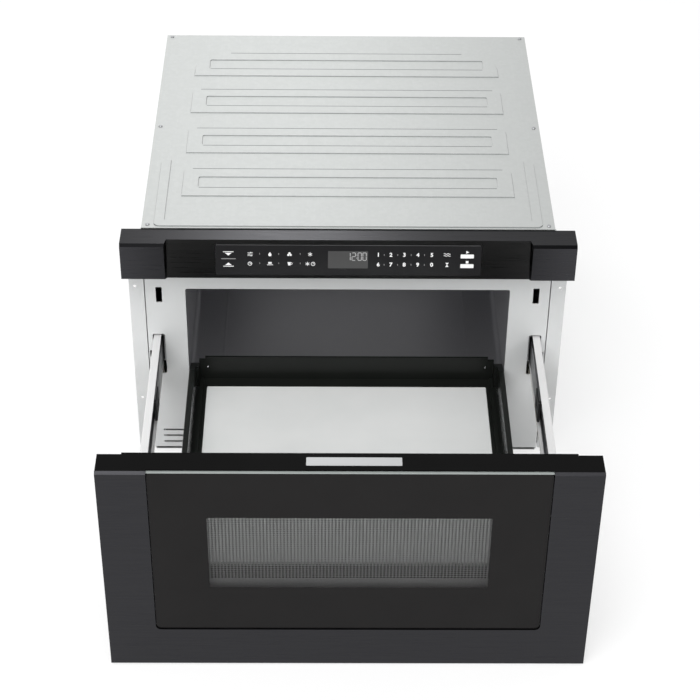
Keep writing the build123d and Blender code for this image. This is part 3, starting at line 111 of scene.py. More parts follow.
def per(size_mm):
    """The texture scale at which one feature is this many millimetres."""
    return 1 / (size_mm * MM)


# A Mix node's sockets by number: its factor, its two colours and its colour out.
FACTOR, FIRST, SECOND, MIXED = 0, 6, 7, 2


# ------------------------------------------------------------------ materials
def metal(name, dark, light, grain, roughness, stretch=(1, 1, 1), spread=0.08, relief=0.02):
    """Bare metal: its grain varies the tone, the roughness and the surface."""
    material, tree, place = begin(name)
    along = add(tree, "ShaderNodeMapping", {"Vector": place, "Scale": stretch})
    streaks = add(tree, "ShaderNodeTexNoise", {
        "Vector": along.outputs["Vector"], "Scale": per(grain), "Detail": 3,
    })
    tone = add(tree, "ShaderNodeMix", {
        FACTOR: streaks.outputs["Fac"], FIRST: linear(dark), SECOND: linear(light),
    }, data_type="RGBA")
    polish = add(tree, "ShaderNodeMapRange", {
        "Value": streaks.outputs["Fac"], "From Min": 0.3, "From Max": 0.7,
        "To Min": roughness - spread / 2, "To Max": roughness + spread / 2,
    })
    bump = add(tree, "ShaderNodeBump", {
        "Height": streaks.outputs["Fac"], "Strength": relief, "Distance": 0.2 * MM,
    })
    surface(tree, {
        "Base Color": tone.outputs[MIXED], "Metallic": 1.0,
        "Roughness": polish.outputs["Result"], "Normal": bump.outputs["Normal"],
    })
    return material


def coated(name, dark, light, grain, roughness, ior, relief, alpha=1.0):
    """Paint, enamel, plastic or glass: a skin with a fine grain over slow clouds."""
    material, tree, place = begin(name)
    skin = add(tree, "ShaderNodeTexNoise", {"Vector": place, "Scale": per(grain), "Detail": 2})
    clouds = add(tree, "ShaderNodeTexNoise", {"Vector": place, "Scale": per(60), "Detail": 2})
    tone = add(tree, "ShaderNodeMix", {
        FACTOR: clouds.outputs["Fac"], FIRST: linear(dark), SECOND: linear(light),
    }, data_type="RGBA")
    polish = add(tree, "ShaderNodeMapRange", {
        "Value": clouds.outputs["Fac"], "From Min": 0.3, "From Max": 0.7,
        "To Min": roughness * 0.9, "To Max": roughness * 1.1,
    })
    bump = add(tree, "ShaderNodeBump", {
        "Height": skin.outputs["Fac"], "Strength": relief, "Distance": 0.1 * MM,
    })
    surface(tree, {
        "Base Color": tone.outputs[MIXED], "Roughness": polish.outputs["Result"],
        "IOR": ior, "Alpha": alpha, "Normal": bump.outputs["Normal"],
    })
    return material


# Sharp folds of the pressed cover, darkened with painted shade: y and half length,
# first the rear edges of the raised beads, then the front edges of the inner ones.
SHADED_FOLDS = ((-119.2, 216), (-11.2, 216), (98.8, 216), (207.8, 176),
         (-167.0, 205), (-57.8, 205), (52.0, 205), (160.2, 205))
FOLD_REACH = 1.2
# The upward share of the normal on a bead's slope, and how far it may differ.
BEAD_SLOPE, BEAD_SLOPE_REACH = 0.57, 0.15


def spangled_zinc():
    """Hot-dip galvanised sheet, skin-passed: pale satin zinc with a faint spangle,
    with painted shade darkening the folds and the slopes towards the front."""
    material, tree, place = begin("galvanised_sheet")
    spangle = add(tree, "ShaderNodeTexVoronoi", {"Vector": place, "Scale": per(5)})
    axes = add(tree, "ShaderNodeSeparateXYZ", {"Vector": place})
    facing = add(tree, "ShaderNodeSeparateXYZ", {
        "Vector": add(tree, "ShaderNodeNewGeometry").outputs["Normal"],
    })
    # Painted shade: a mask of the bead slopes that face the front, joined below with the fold
    # lines.
    sloping = add(tree, "ShaderNodeMath", {
        0: facing.outputs["Z"], 1: BEAD_SLOPE, 2: BEAD_SLOPE_REACH,
    }, operation="COMPARE")
    forward = add(tree, "ShaderNodeMath", {0: facing.outputs["Y"], 1: -0.3}, operation="LESS_THAN")
    fold_and_slope_shade = add(tree, "ShaderNodeMath", {
        0: sloping.outputs["Value"], 1: forward.outputs["Value"],
    }, operation="MULTIPLY")
    for fold_y, half in SHADED_FOLDS:
        near = add(tree, "ShaderNodeMath", {
            0: axes.outputs["Y"], 1: fold_y * MM, 2: FOLD_REACH * MM,
        }, operation="COMPARE")
        within = add(tree, "ShaderNodeMath", {
            0: axes.outputs["X"], 1: 0.0, 2: half * MM,
        }, operation="COMPARE")
        fold = add(tree, "ShaderNodeMath", {
            0: near.outputs["Value"], 1: within.outputs["Value"],
        }, operation="MULTIPLY")
        fold_and_slope_shade = add(tree, "ShaderNodeMath", {
            0: fold_and_slope_shade.outputs["Value"], 1: fold.outputs["Value"],
        }, operation="MAXIMUM")
    rolled = add(tree, "ShaderNodeMapping", {"Vector": place, "Scale": (1, 0.05, 0.05)})
    streaks = add(tree, "ShaderNodeTexNoise", {
        "Vector": rolled.outputs["Vector"], "Scale": per(2.5), "Detail": 3,
    })
    flake = add(tree, "ShaderNodeSeparateColor", {"Color": spangle.outputs["Color"]})
    grain = add(tree, "ShaderNodeMath", {
        0: flake.outputs["Red"], 1: streaks.outputs["Fac"],
    }, operation="MULTIPLY")
    tone = add(tree, "ShaderNodeMix", {
        FACTOR: grain.outputs["Value"], FIRST: linear("#AFB1B0"), SECOND: linear("#B3B5B4"),
    }, data_type="RGBA")
    # Painted shade: the fold lines and the front-facing slopes take the darker zinc tone #777A79.
    shaded_zinc = add(tree, "ShaderNodeMix", {
        FACTOR: fold_and_slope_shade.outputs["Value"], FIRST: tone.outputs[MIXED], SECOND: linear("#777A79"),
    }, data_type="RGBA")
    polish = add(tree, "ShaderNodeMapRange", {
        "Value": grain.outputs["Value"], "To Min": 0.57, "To Max": 0.54,
    })
    bump = add(tree, "ShaderNodeBump", {
        "Height": streaks.outputs["Fac"], "Strength": 0.03, "Distance": 0.2 * MM,
    })
    surface(tree, {
        "Base Color": shaded_zinc.outputs[MIXED], "Metallic": 1.0,
        "Roughness": polish.outputs["Result"], "Normal": bump.outputs["Normal"],
    })
    return material


# The control panel's foot, and half the width of the recess between its ends.
PANEL_FOOT_Z, RECESS_HALF = 328.5, 244.2
# Painted light and shade on the panel's coat, by the way its faces turn: an axis of the
# normal, its value there, how far it may differ, and the share of the drawer frame's tone.
PANEL_LIGHT_AND_SHADE = (
    ("Y", -1.0, 0.1, 1.4),      # front
    ("Z", 1.0, 0.1, 0.6),       # top
    ("Z", 0.7, 0.18, 0.1),      # chamfer between them
    ("X", 1.0, 0.1, 0.1), ("X", -1.0, 0.1, 0.1),      # returns beside the recess
)


def black_stainless():
    """Stainless steel under a tinted clear coat, brushed along X. On the panel, painted
    light makes the front lighter and painted shade makes the top, chamfer and returns
    darker; its recessed face is painted a plain dark grey."""
    material, tree, place = begin("black_stainless_steel")
    brushed = add(tree, "ShaderNodeMapping", {"Vector": place, "Scale": (0.02, 1, 1)})
    lines = add(tree, "ShaderNodeTexNoise", {
        "Vector": brushed.outputs["Vector"], "Scale": per(1.2), "Detail": 4, "Roughness": 0.65,
    })
    tone = add(tree, "ShaderNodeMix", {
        FACTOR: lines.outputs["Fac"], FIRST: linear("#313134"), SECOND: linear("#3B3B3D"),
    }, data_type="RGBA")
    axes = add(tree, "ShaderNodeSeparateXYZ", {"Vector": place})
    facing = add(tree, "ShaderNodeSeparateXYZ", {
        "Vector": add(tree, "ShaderNodeNewGeometry").outputs["Normal"],
    })
    panel = add(tree, "ShaderNodeMath", {
        0: axes.outputs["Z"], 1: PANEL_FOOT_Z * MM,
    }, operation="GREATER_THAN")
    lit_and_shaded = tone.outputs[MIXED]
    # Painted light and shade: each zone's tone is multiplied by its share, lighter on the front,
    # darker on the top, chamfer and returns.
    for axis, turn_to, reach, share in PANEL_LIGHT_AND_SHADE:
        turned = add(tree, "ShaderNodeMath", {
            0: facing.outputs[axis], 1: turn_to, 2: reach,
        }, operation="COMPARE")
        zone = add(tree, "ShaderNodeMath", {
            0: turned.outputs["Value"], 1: panel.outputs["Value"],
        }, operation="MULTIPLY")
        lit_and_shaded = add(tree, "ShaderNodeMix", {
            FACTOR: zone.outputs["Value"], FIRST: lit_and_shaded, SECOND: (share, share, share, 1),
        }, data_type="RGBA", blend_type="MULTIPLY").outputs[MIXED]
    middle = add(tree, "ShaderNodeMath", {
        0: axes.outputs["X"], 1: 0.0, 2: RECESS_HALF * MM,
    }, operation="COMPARE")
    set_back = add(tree, "ShaderNodeMath", {
        0: facing.outputs["Y"], 1: -0.9,
    }, operation="LESS_THAN")
    front = add(tree, "ShaderNodeMath", {
        0: middle.outputs["Value"], 1: panel.outputs["Value"],
    }, operation="MULTIPLY")
    recess = add(tree, "ShaderNodeMath", {
        0: front.outputs["Value"], 1: set_back.outputs["Value"],
    }, operation="MULTIPLY")
    painted = add(tree, "ShaderNodeMix", {
        FACTOR: recess.outputs["Value"], FIRST: lit_and_shaded, SECOND: linear("#393939"),
    }, data_type="RGBA")
    polish = add(tree, "ShaderNodeMapRange", {
        "Value": lines.outputs["Fac"], "From Min": 0.3, "From Max": 0.7,
        "To Min": 0.26, "To Max": 0.34,
    })
    bump = add(tree, "ShaderNodeBump", {
        "Height": lines.outputs["Fac"], "Strength": 0.03, "Distance": 0.1 * MM,
    })
    surface(tree, {
        "Base Color": painted.outputs[MIXED], "Metallic": 1.0,
        "Roughness": polish.outputs["Result"], "Normal": bump.outputs["Normal"],
    })
    return material


def laminations():
    """Varnished core plates: brown-black, in 0.5 mm plates drawn as 2 mm bands."""
    material, tree, place = begin("varnished_laminations")
    plates = add(tree, "ShaderNodeTexWave", {
        "Vector": place, "Scale": per(2) / 20, "Distortion": 0.3,
    }, bands_direction="X")
    tone = add(tree, "ShaderNodeMix", {
        FACTOR: plates.outputs["Fac"], FIRST: linear("#3A2E27"), SECOND: linear("#5B4A3E"),
    }, data_type="RGBA")
    bump = add(tree, "ShaderNodeBump", {
        "Height": plates.outputs["Fac"], "Strength": 0.4, "Distance": 0.2 * MM,
    })
    surface(tree, {
        "Base Color": tone.outputs[MIXED], "Roughness": 0.4, "Normal": bump.outputs["Normal"],
    })
    return material


def solder_mask():
    """A printed circuit board: green mask over copper tracks about 2 mm apart."""
    material, tree, place = begin("green_solder_mask")
    tracks = add(tree, "ShaderNodeTexBrick", {
        "Vector": place, "Scale": per(8), "Color1": linear("#1E5A34"), "Color2": linear("#23663C"),
        "Mortar": linear("#4E8A52"), "Mortar Size": 0.04, "Brick Width": 1.0, "Row Height": 0.25,
    })
    bump = add(tree, "ShaderNodeBump", {
        "Height": tracks.outputs["Fac"], "Strength": 0.2, "Distance": 0.05 * MM,
    })
    surface(tree, {
        "Base Color": tracks.outputs["Color"], "Roughness": 0.35, "Normal": bump.outputs["Normal"],
    })
    return material


FINISH = {
    "galvanised_steel": spangled_zinc(),
    # Light grey baked enamel on the front plate: satin, with a faint orange peel.
    "plate_paint": coated("grey_baked_enamel", "#C6C8C8", "#CECFCF", 1.6, 0.42, 1.4, 0.05),
    "black_stainless": black_stainless(),
    # Back-painted touch glass: its black lies under a flat, polished face.
    "touch_glass": coated("back_painted_glass", "#202021", "#262627", 40, 0.10, 1.3, 0.01),
    # Smoked toughened glass: dark and glossy, and a screen shows through it.
    "black_glass": coated("smoked_glass", "#060606", "#0A0909", 80, 0.05, 1.45, 0.0, alpha=0.28),
    # Polished black moulding along the top of the drawer front.
    "gloss_black": coated("polished_black_moulding", "#090909", "#0C0C0C", 60, 0.12, 1.11, 0.01),
    # Fired black enamel on the tub and the inner door: deep black, satin.
    "black_enamel": coated("black_enamel", "#131513", "#191B19", 1.2, 0.35, 1.3, 0.05),
    # White powder coat on the arms: slightly pebbled, low gloss.
    "arm_white": coated("white_powder_coat", "#CCCCCC", "#D4D4D4", 0.9, 0.45, 1.4, 0.10),
    # Roll-formed, zinc-plated slide members, streaked along their length.
    "zinc_steel": metal("zinc_plated_steel", "#838486", "#A3A4A6", 1.0, 0.34, (1, 0.03, 1)),
    # Bright cold-rolled steel: liners, shafts and the pinion.
    "bright_steel": metal("bright_rolled_steel", "#B9BABB", "#CDCECF", 1.0, 0.24, (1, 0.04, 1)),
    # Brushed stainless walls of the oven, brushed front to back.
    "cavity_steel": metal("brushed_stainless", "#B4B4B7", "#C0C0C3", 0.8, 0.48, (1, 0.03, 1)),
    # Moulded black plastic with a fine spark-eroded grain, drawn at 0.8 mm.
    "black_plastic": coated("moulded_black_plastic", "#151515", "#1D1D1D", 0.8, 0.5, 1.45, 0.15),
    # Natural nylon gears and racks: warm white, slightly waxy.
    "natural_nylon": coated("natural_nylon", "#D2CEC0", "#E0DCD0", 2.0, 0.42, 1.5, 0.05),
    # Pale polypropylene cover over the stirrer.
    "mica_plastic": coated("pale_polypropylene", "#C2C2BE", "#CDCDC9", 1.5, 0.5, 1.45, 0.08),
    # Pale glass-ceramic tray: fire-polished, so it mirrors softly.
    "tray_glass": coated("glass_ceramic", "#DADCDB", "#E4E5E4", 50, 0.08, 1.5, 0.01),
    "circuit_board": solder_mask(),
    # Plated steel cans of motors and the magnetron's yoke.
    "motor_can": metal("nickel_plated_steel", "#8F9092", "#A9AAAB", 1.5, 0.32),
    # Mill-finish aluminium sheet, rolled front to back.
    "aluminium_sheet": metal(
        "mill_finish_aluminium", "#C0C2C4", "#D0D2D4", 1.2, 0.30, (1, 0.04, 1)),
    "transformer_varnish": laminations(),
    # Enamelled steel of the perforated screen: mid grey, dull.
    "screen_steel": coated("grey_enamelled_screen", "#808080", "#8A8A8A", 1.0, 0.5, 1.4, 0.05),
    # Clear glass of the inner window.
    "clear_glass": coated(
        "clear_float_glass", "#C4D0CC", "#CCD6D2", 60, 0.04, 1.45, 0.01, alpha=0.25),
}
for part in frame["record"]["subparts"]:
    for place in frame["nodes"][part["node"]].material_slots:
        place.material = FINISH[part["material_slot"]]

# Screen-printed white ink of the key legends: matt and opaque.
white_ink = coated("white_screen_ink", "#E6E6E6", "#EFEFEF", 0.8, 0.5, 1.4, 0.05)
# Grey ink of the divider and the small marks between the keys.
grey_ink = coated("grey_screen_ink", "#8A8A8A", "#949494", 0.8, 0.5, 1.4, 0.05)
# The display's filter: a smoked polycarbonate film that looks mid grey unlit.
display_film = coated("smoked_polycarbonate", "#484848", "#4E4E4E", 30, 0.15, 1.3, 0.01)
# The segments of the display, pale behind that film.
segment_film = coated("display_segments", "#A2A2A2", "#AEAEAE", 10, 0.3, 1.3, 0.01)
# The ground and polished top edge of the door's glass: pale grey-green.
ground_edge = coated("polished_glass_edge", "#7E8482", "#8B908E", 3.0, 0.15, 1.45, 0.02)
# The touch glass's ground edge: dark, because the glass is painted behind.
dark_edge = coated("ground_dark_glass_edge", "#4A4A4B", "#545455", 3.0, 0.25, 1.45, 0.02)
# The door's glass with black ceramic print behind it: polished, and even.
ceramic_print = coated("back_printed_glass", "#161515", "#1B1A1A", 60, 0.12, 1.2, 0.0)
# The bare aluminium rating-plate blank, brushed along X.
plate_blank = metal("brushed_aluminium_blank", "#9FA0A1", "#B0B1B2", 0.7, 0.45, (0.03, 1, 1))


# ------------------------------------------------------------------ helpers for pieces
# Outlines are drawn on a face towards -Y or towards +Z, or in YZ to stand along X.
FRONT = Matrix(((1, 0, 0, 0), (0, 0, -1, 0), (0, 1, 0, 0), (0, 0, 0, 1)))
LEVEL = Matrix.Identity(4)
LENGTHWISE = Matrix(((0, 0, 1, 0), (1, 0, 0, 0), (0, 1, 0, 0), (0, 0, 0, 1)))
# The panel's middle face leans back from its foot; legends are drawn up its slope.
LEAN = atan2(9.8, 55.5)
OUTWARD = Vector((0, -cos(LEAN), sin(LEAN)))
SLOPE = Matrix(((1, 0, 0), (0, sin(LEAN), cos(LEAN)), OUTWARD)).transposed().to_4x4()
GLASS_PROUD = 0.2
ON_GLASS = Vector((0, -299.8, 331.8)) + GLASS_PROUD * OUTWARD


def place_piece(name, mesh, material, body):
    """Links a finished mesh as a piece on a body."""
    mesh.name = name
    mesh.materials.clear()
    mesh.materials.append(material)
    piece = bpy.data.objects.new(name, mesh)
    scene.collection.objects.link(piece)
    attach(piece, body)
    return piece


def prisms(outlines, at, height, facing):
    """A mesh of flat prisms: outlines in mm, standing height mm on a face at a point."""
    points, faces = [], []
    for outline in outlines:
        size = len(outline)
        area = sum(outline[i - 1][0] * outline[i][1] - outline[i][0] * outline[i - 1][1]
                   for i in range(size))
        ring = outline if area > 0 else outline[::-1]
        first = len(points)
        points += [(x, y, 0) for x, y in ring] + [(x, y, height) for x, y in ring]
        faces.append(tuple(first + i for i in reversed(range(size))))
        faces.append(tuple(first + size + i for i in range(size)))
        for i in range(size):
            j = (i + 1) % size
            faces.append((first + i, first + j, first + size + j, first + size + i))
    mesh = bpy.data.meshes.new("prisms")
    mesh.from_pydata(points, [], faces)
    mesh.transform(Matrix.Translation(Vector(at) * MM) @ facing @ Matrix.Scale(MM, 4))
    return mesh


def bar(start, end, width):
    """The outline of a straight stroke between two points."""
    run = Vector(end) - Vector(start)
    side = Vector((-run.y, run.x)).normalized() * width / 2
    return [tuple(Vector(p) + s * side) for p, s in ((start, -1), (end, -1), (end, 1), (start, 1))]


def disc(x, y, radius, sides=14):
    """The outline of a disc."""
    return [(x + radius * cos(2 * pi * i / sides), y + radius * sin(2 * pi * i / sides))
            for i in range(sides)]


def ring(x, y, radius, width, sides=16, span=1.0):
    """The outlines of a ring, or of part of one, as short strokes."""
    def at(i):
        angle = 2 * pi * span * i / sides
        return (cos(angle), sin(angle))
    inner = radius - width
    return [[(x + c * r, y + s * r) for (c, s), r in (
        (at(i), inner), (at(i), radius), (at(i + 1), radius), (at(i + 1), inner))]
        for i in range(sides)]


def box_outline(x, y, width, height):
    """The outline of a rectangle by its middle and size."""
    return [(x - width / 2, y - height / 2), (x + width / 2, y - height / 2),
            (x + width / 2, y + height / 2), (x - width / 2, y + height / 2)]


def rounded_outline(x, y, width, height, radius, steps=5):
    """The outline of a rectangle with rounded corners."""
    corners = ((1, 1, 0), (-1, 1, 1), (-1, -1, 2), (1, -1, 3))
    return [(x + i * (width / 2 - radius) + radius * cos(pi / 2 * (quarter + n / steps)),
             y + j * (height / 2 - radius) + radius * sin(pi / 2 * (quarter + n / steps)))
            for i, j, quarter in corners for n in range(steps + 1)]


def shift(outlines, x, y):
    """The same outlines, moved."""
    return [[(a + x, b + y) for a, b in outline] for outline in outlines]


def numerals(words, size, height, at, facing):
    """A mesh of numerals, each (text, x, y) centred on its point of a face."""
    meshes = []
    for text, x, y in words:
        curve = bpy.data.curves.new("numeral", "FONT")
        curve.body = text
        curve.size = size
        curve.align_x, curve.align_y = "CENTER", "CENTER"
        curve.extrude = height / 2
        curve.offset = 0.035 * size
        curve.resolution_u = 3
        letter = bpy.data.objects.new("numeral", curve)
        scene.collection.objects.link(letter)
        graph = bpy.context.evaluated_depsgraph_get()
        mesh = bpy.data.meshes.new_from_object(letter.evaluated_get(graph))
        mesh.transform(Matrix.Translation((x, y, height / 2)))
        meshes.append(mesh)
        bpy.data.objects.remove(letter)
    points, faces = [], []
    for mesh in meshes:
        first = len(points)
        points += [tuple(v.co) for v in mesh.vertices]
        faces += [tuple(first + i for i in p.vertices) for p in mesh.polygons]
    whole = bpy.data.meshes.new("numerals")
    whole.from_pydata(points, [], faces)
    whole.transform(Matrix.Translation(Vector(at) * MM) @ facing @ Matrix.Scale(MM, 4))
    return whole


def grow(name, mesh, tree, values):
    """Runs a geometry tree on a mesh, with named inputs, and gives the plain mesh."""
    source = bpy.data.objects.new(name, mesh)
    scene.collection.objects.link(source)
    modifier = source.modifiers.new("shape", "NODES")
    modifier.node_group = tree
    for socket in tree.interface.items_tree:
        if socket.in_out == "INPUT" and socket.name in values:
            modifier[socket.identifier] = values[socket.name]
    graph = bpy.context.evaluated_depsgraph_get()
    result = bpy.data.meshes.new_from_object(source.evaluated_get(graph))
    source.modifiers.clear()
    bpy.data.objects.remove(source)
    return result


def open_tree(name, inputs):
    """A geometry tree with named inputs, and its first and last nodes."""
    tree = bpy.data.node_groups.new(name, "GeometryNodeTree")
    tree.interface.new_socket("Geometry", in_out="OUTPUT", socket_type="NodeSocketGeometry")
    tree.interface.new_socket("Geometry", in_out="INPUT", socket_type="NodeSocketGeometry")
    for label, kind in inputs:
        tree.interface.new_socket(label, in_out="INPUT", socket_type="NodeSocket" + kind)
    return tree, add(tree, "NodeGroupInput").outputs, add(tree, "NodeGroupOutput")


# ------------------------------------------------------------------ the perforated screen
# One enamelled sheet with columns of round holes and a plain strip below them.
def perforation_tree():
    """Two grids of holes, one between the rows of the other, cut from one sheet: the
    holes stand in straight columns and nearly touch up a column."""
    tree, given, result = open_tree("perforated_sheet", (
        ("Width", "Float"), ("Height", "Float"), ("Middle", "Float"), ("Thickness", "Float"),
        ("Pitch", "Float"), ("Columns", "Int"), ("Rows", "Int"), ("Hole radius", "Float"),
        ("Material", "Material"),
    ))
    row = add(tree, "ShaderNodeMath", {0: given["Pitch"], 1: sqrt(3)}, operation="MULTIPLY")
    across = add(tree, "ShaderNodeMath", {0: given["Columns"], 1: 1.0}, operation="SUBTRACT")
    up = add(tree, "ShaderNodeMath", {0: given["Rows"], 1: 1.0}, operation="SUBTRACT")
    grid = add(tree, "GeometryNodeMeshGrid", {
        "Size X": add(tree, "ShaderNodeMath", {
            0: across.outputs[0], 1: given["Pitch"]}, operation="MULTIPLY").outputs[0],
        "Size Y": add(tree, "ShaderNodeMath", {
            0: up.outputs[0], 1: row.outputs[0]}, operation="MULTIPLY").outputs[0],
        "Vertices X": given["Columns"], "Vertices Y": given["Rows"],
    })
    half_row = add(tree, "ShaderNodeMath", {0: row.outputs[0], 1: 0.5}, operation="MULTIPLY")
    half_step = add(tree, "ShaderNodeCombineXYZ", {"Y": half_row.outputs[0]})
    between = add(tree, "GeometryNodeTransform", {
        "Geometry": grid.outputs["Mesh"], "Translation": half_step.outputs[0],
    })
    holes = add(tree, "GeometryNodeJoinGeometry", {"Geometry": grid.outputs["Mesh"]})
    tree.links.new(between.outputs["Geometry"], holes.inputs["Geometry"])
    circle = add(tree, "GeometryNodeCurvePrimitiveCircle", {
        "Resolution": 12, "Radius": given["Hole radius"],
    })
    placed = add(tree, "GeometryNodeInstanceOnPoints", {
        "Points": holes.outputs["Geometry"], "Instance": circle.outputs["Curve"],
    })
    rims = add(tree, "GeometryNodeRealizeInstances", {"Geometry": placed.outputs["Instances"]})
    edge = add(tree, "GeometryNodeCurvePrimitiveQuadrilateral", {
        "Width": given["Width"], "Height": given["Height"],
    })
    lowered = add(tree, "ShaderNodeCombineXYZ", {"Y": given["Middle"]})
    outline = add(tree, "GeometryNodeTransform", {
        "Geometry": edge.outputs["Curve"], "Translation": lowered.outputs[0],
    })
    curves = add(tree, "GeometryNodeJoinGeometry", {"Geometry": rims.outputs["Geometry"]})
    tree.links.new(outline.outputs["Geometry"], curves.inputs["Geometry"])
    face = add(tree, "GeometryNodeFillCurve", {"Curve": curves.outputs["Geometry"]})
    raised = add(tree, "GeometryNodeExtrudeMesh", {
        "Mesh": face.outputs["Mesh"], "Offset Scale": given["Thickness"], "Individual": False,
    })
    back = add(tree, "GeometryNodeFlipFaces", {"Mesh": face.outputs["Mesh"]})
    shell = add(tree, "GeometryNodeJoinGeometry", {"Geometry": raised.outputs["Mesh"]})
    tree.links.new(back.outputs["Mesh"], shell.inputs["Geometry"])
    welded = add(tree, "GeometryNodeMergeByDistance", {
        "Geometry": shell.outputs["Geometry"], "Distance": 0.02,
    })
    whole = add(tree, "GeometryNodeRealizeInstances", {"Geometry": welded.outputs["Geometry"]})
    painted = add(tree, "GeometryNodeSetMaterial", {
        "Geometry": whole.outputs["Geometry"], "Material": given["Material"],
    })
    tree.links.new(painted.outputs["Geometry"], result.inputs["Geometry"])
    return tree


HOLE_PITCH, HOLE_RADIUS = 4.2, 1.65
HOLE_COLUMNS = 84
HOLE_ROWS = 15                  # of each of the two grids
LOWEST_DOTS_Z = 145.1
screen_low, screen_high = (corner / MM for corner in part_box("perforated_screen"))
row_step = HOLE_PITCH * sqrt(3) / 2
grid_middle = LOWEST_DOTS_Z + row_step * (HOLE_ROWS - 1)
sheet = grow("perforated_sheet", bpy.data.meshes.new("empty"), perforation_tree(), {
    "Width": screen_high.x - screen_low.x - 1, "Height": screen_high.z - screen_low.z - 1,
    "Middle": (screen_low.z + screen_high.z) / 2 - grid_middle,
    "Thickness": screen_high.y - screen_low.y, "Pitch": HOLE_PITCH,
    "Columns": HOLE_COLUMNS, "Rows": HOLE_ROWS, "Hole radius": HOLE_RADIUS,
    "Material": FINISH["screen_steel"],
})
at = Vector((0, screen_high.y, grid_middle)) * MM
sheet.transform(Matrix.Translation(at) @ FRONT @ Matrix.Scale(MM, 4))
screen = place_piece("perforated_sheet", sheet, FINISH["screen_steel"], "drawer")
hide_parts("perforated_screen")


# ------------------------------------------------------------------ screws
# Of a head's radius: its flat top, and the length and width of the cross recess.
PAN_TOP, RECESS_LONG, RECESS_WIDE = 0.62, 1.05, 0.24


def screw_tree():
    """Pan heads with a cross recess, one at each point, standing along its axis."""
    tree, given, result = open_tree("cross_screws", (
        ("Radius", "Float"), ("Height", "Float"), ("Material", "Material"),
    ))
    radius, height = given["Radius"], given["Height"]
    top = add(tree, "ShaderNodeMath", {0: radius, 1: PAN_TOP}, operation="MULTIPLY")
    pan = add(tree, "GeometryNodeMeshCone", {
        "Vertices": 24, "Radius Top": top.outputs[0], "Radius Bottom": radius, "Depth": height,
    })
    long = add(tree, "ShaderNodeMath", {0: radius, 1: RECESS_LONG}, operation="MULTIPLY")
    thin = add(tree, "ShaderNodeMath", {0: radius, 1: RECESS_WIDE}, operation="MULTIPLY")
    slots = add(tree, "GeometryNodeJoinGeometry")
    raise_by = add(tree, "ShaderNodeCombineXYZ", {"Z": height})
    for first, second in ((long, thin), (thin, long)):
        size = add(tree, "ShaderNodeCombineXYZ", {
            "X": first.outputs[0], "Y": second.outputs[0], "Z": height,
        })
        cut = add(tree, "GeometryNodeMeshCube", {"Size": size.outputs[0]})
        lifted = add(tree, "GeometryNodeTransform", {
            "Geometry": cut.outputs["Mesh"], "Translation": raise_by.outputs[0],
        })
        tree.links.new(lifted.outputs["Geometry"], slots.inputs["Geometry"])
    head = add(tree, "GeometryNodeMeshBoolean", {
        "Mesh 1": pan.outputs["Mesh"], "Mesh 2": slots.outputs["Geometry"],
    }, operation="DIFFERENCE")
    axis = add(tree, "GeometryNodeInputNamedAttribute", {"Name": "axis"}, data_type="FLOAT_VECTOR")
    aim = add(tree, "FunctionNodeAlignRotationToVector", {
        "Vector": axis.outputs["Attribute"],
    }, axis="Z")
    placed = add(tree, "GeometryNodeInstanceOnPoints", {
        "Points": given["Geometry"], "Instance": head.outputs["Mesh"],
        "Rotation": aim.outputs["Rotation"],
    })
    whole = add(tree, "GeometryNodeRealizeInstances", {"Geometry": placed.outputs["Instances"]})
    painted = add(tree, "GeometryNodeSetMaterial", {
        "Geometry": whole.outputs["Geometry"], "Material": given["Material"],
    })
    tree.links.new(painted.outputs["Geometry"], result.inputs["Geometry"])
    return tree


SCREWS = screw_tree()


def screws(name, places, axis, radius, height, slot, body):
    """Screw heads at points in mm on one body, all along one axis."""
    mesh = bpy.data.meshes.new(name)
    mesh.from_pydata(places, [], [])
    aims = mesh.attributes.new("axis", "FLOAT_VECTOR", "POINT")
    aims.data.foreach_set("vector", list(axis) * len(places))
    heads = grow(name, mesh, SCREWS, {
        "Radius": radius, "Height": height, "Material": FINISH[slot],
    })
    heads.transform(Matrix.Scale(MM, 4))
    return place_piece(name, heads, FINISH[slot], body)


# Each head's middle stands half its height over its face.
COVER_TOP_Z, COVER_HEAD = 388.9, 1.0
cover_places = [(x, y, COVER_TOP_Z + COVER_HEAD / 2) for x in (-269, 269) for y in (-257, -6, 259)]
screws("cover_screws", cover_places, (0, 0, 1), 2.8, COVER_HEAD, "zinc_steel", "cabinet")

# ------------------------------------------------------------------ the control panel's printing
# Legends in mm on the sloping glass: x, and the distance up the slope from its foot.
INK = 0.06
NUMERAL_ROWS = (35.2, 20.8)
NUMERAL_X = (39.8, 56.6, 74.5, 92.5, 111.2)
digits = [(text, x, NUMERAL_ROWS[row]) for row, line in enumerate(("12345", "67890"))
          for text, x in zip(line, NUMERAL_X)]
place_piece("key_numerals", numerals(digits, 7.8, INK, ON_GLASS, SLOPE),
            white_ink, "cabinet")


def clock(x, y):
    """A small clock face with two hands."""
    return ring(x, y, 2.9, 0.75) + [bar((x, y), (x, y + 1.9), 0.7), bar((x, y), (x + 1.5, y), 0.7)]


def snowflake(x, y):
    """Three crossing strokes."""
    return [bar((x - 3 * cos(a), y - 3 * sin(a)), (x + 3 * cos(a), y + 3 * sin(a)), 0.8)
            for a in (pi / 2, pi / 6, -pi / 6)]


def drop(x, y):
    """A drop with its point up."""
    return [[(x, y + 3.2)] + [(x + 2.2 * cos(a), y - 0.9 + 2.2 * sin(a))
                              for a in (radians(150 + 24 * i) for i in range(11))]]


def waves(x, y):
    """Two wavy strokes, one over the other."""
    run = [(x - 4.5 + i, 0.8 * sin(i * pi / 2.25)) for i in range(10)]
    return [bar((run[i][0], y + lift + run[i][1]), (run[i + 1][0], y + lift + run[i + 1][1]), 0.8)
            for lift in (-1.4, 1.4) for i in range(9)]


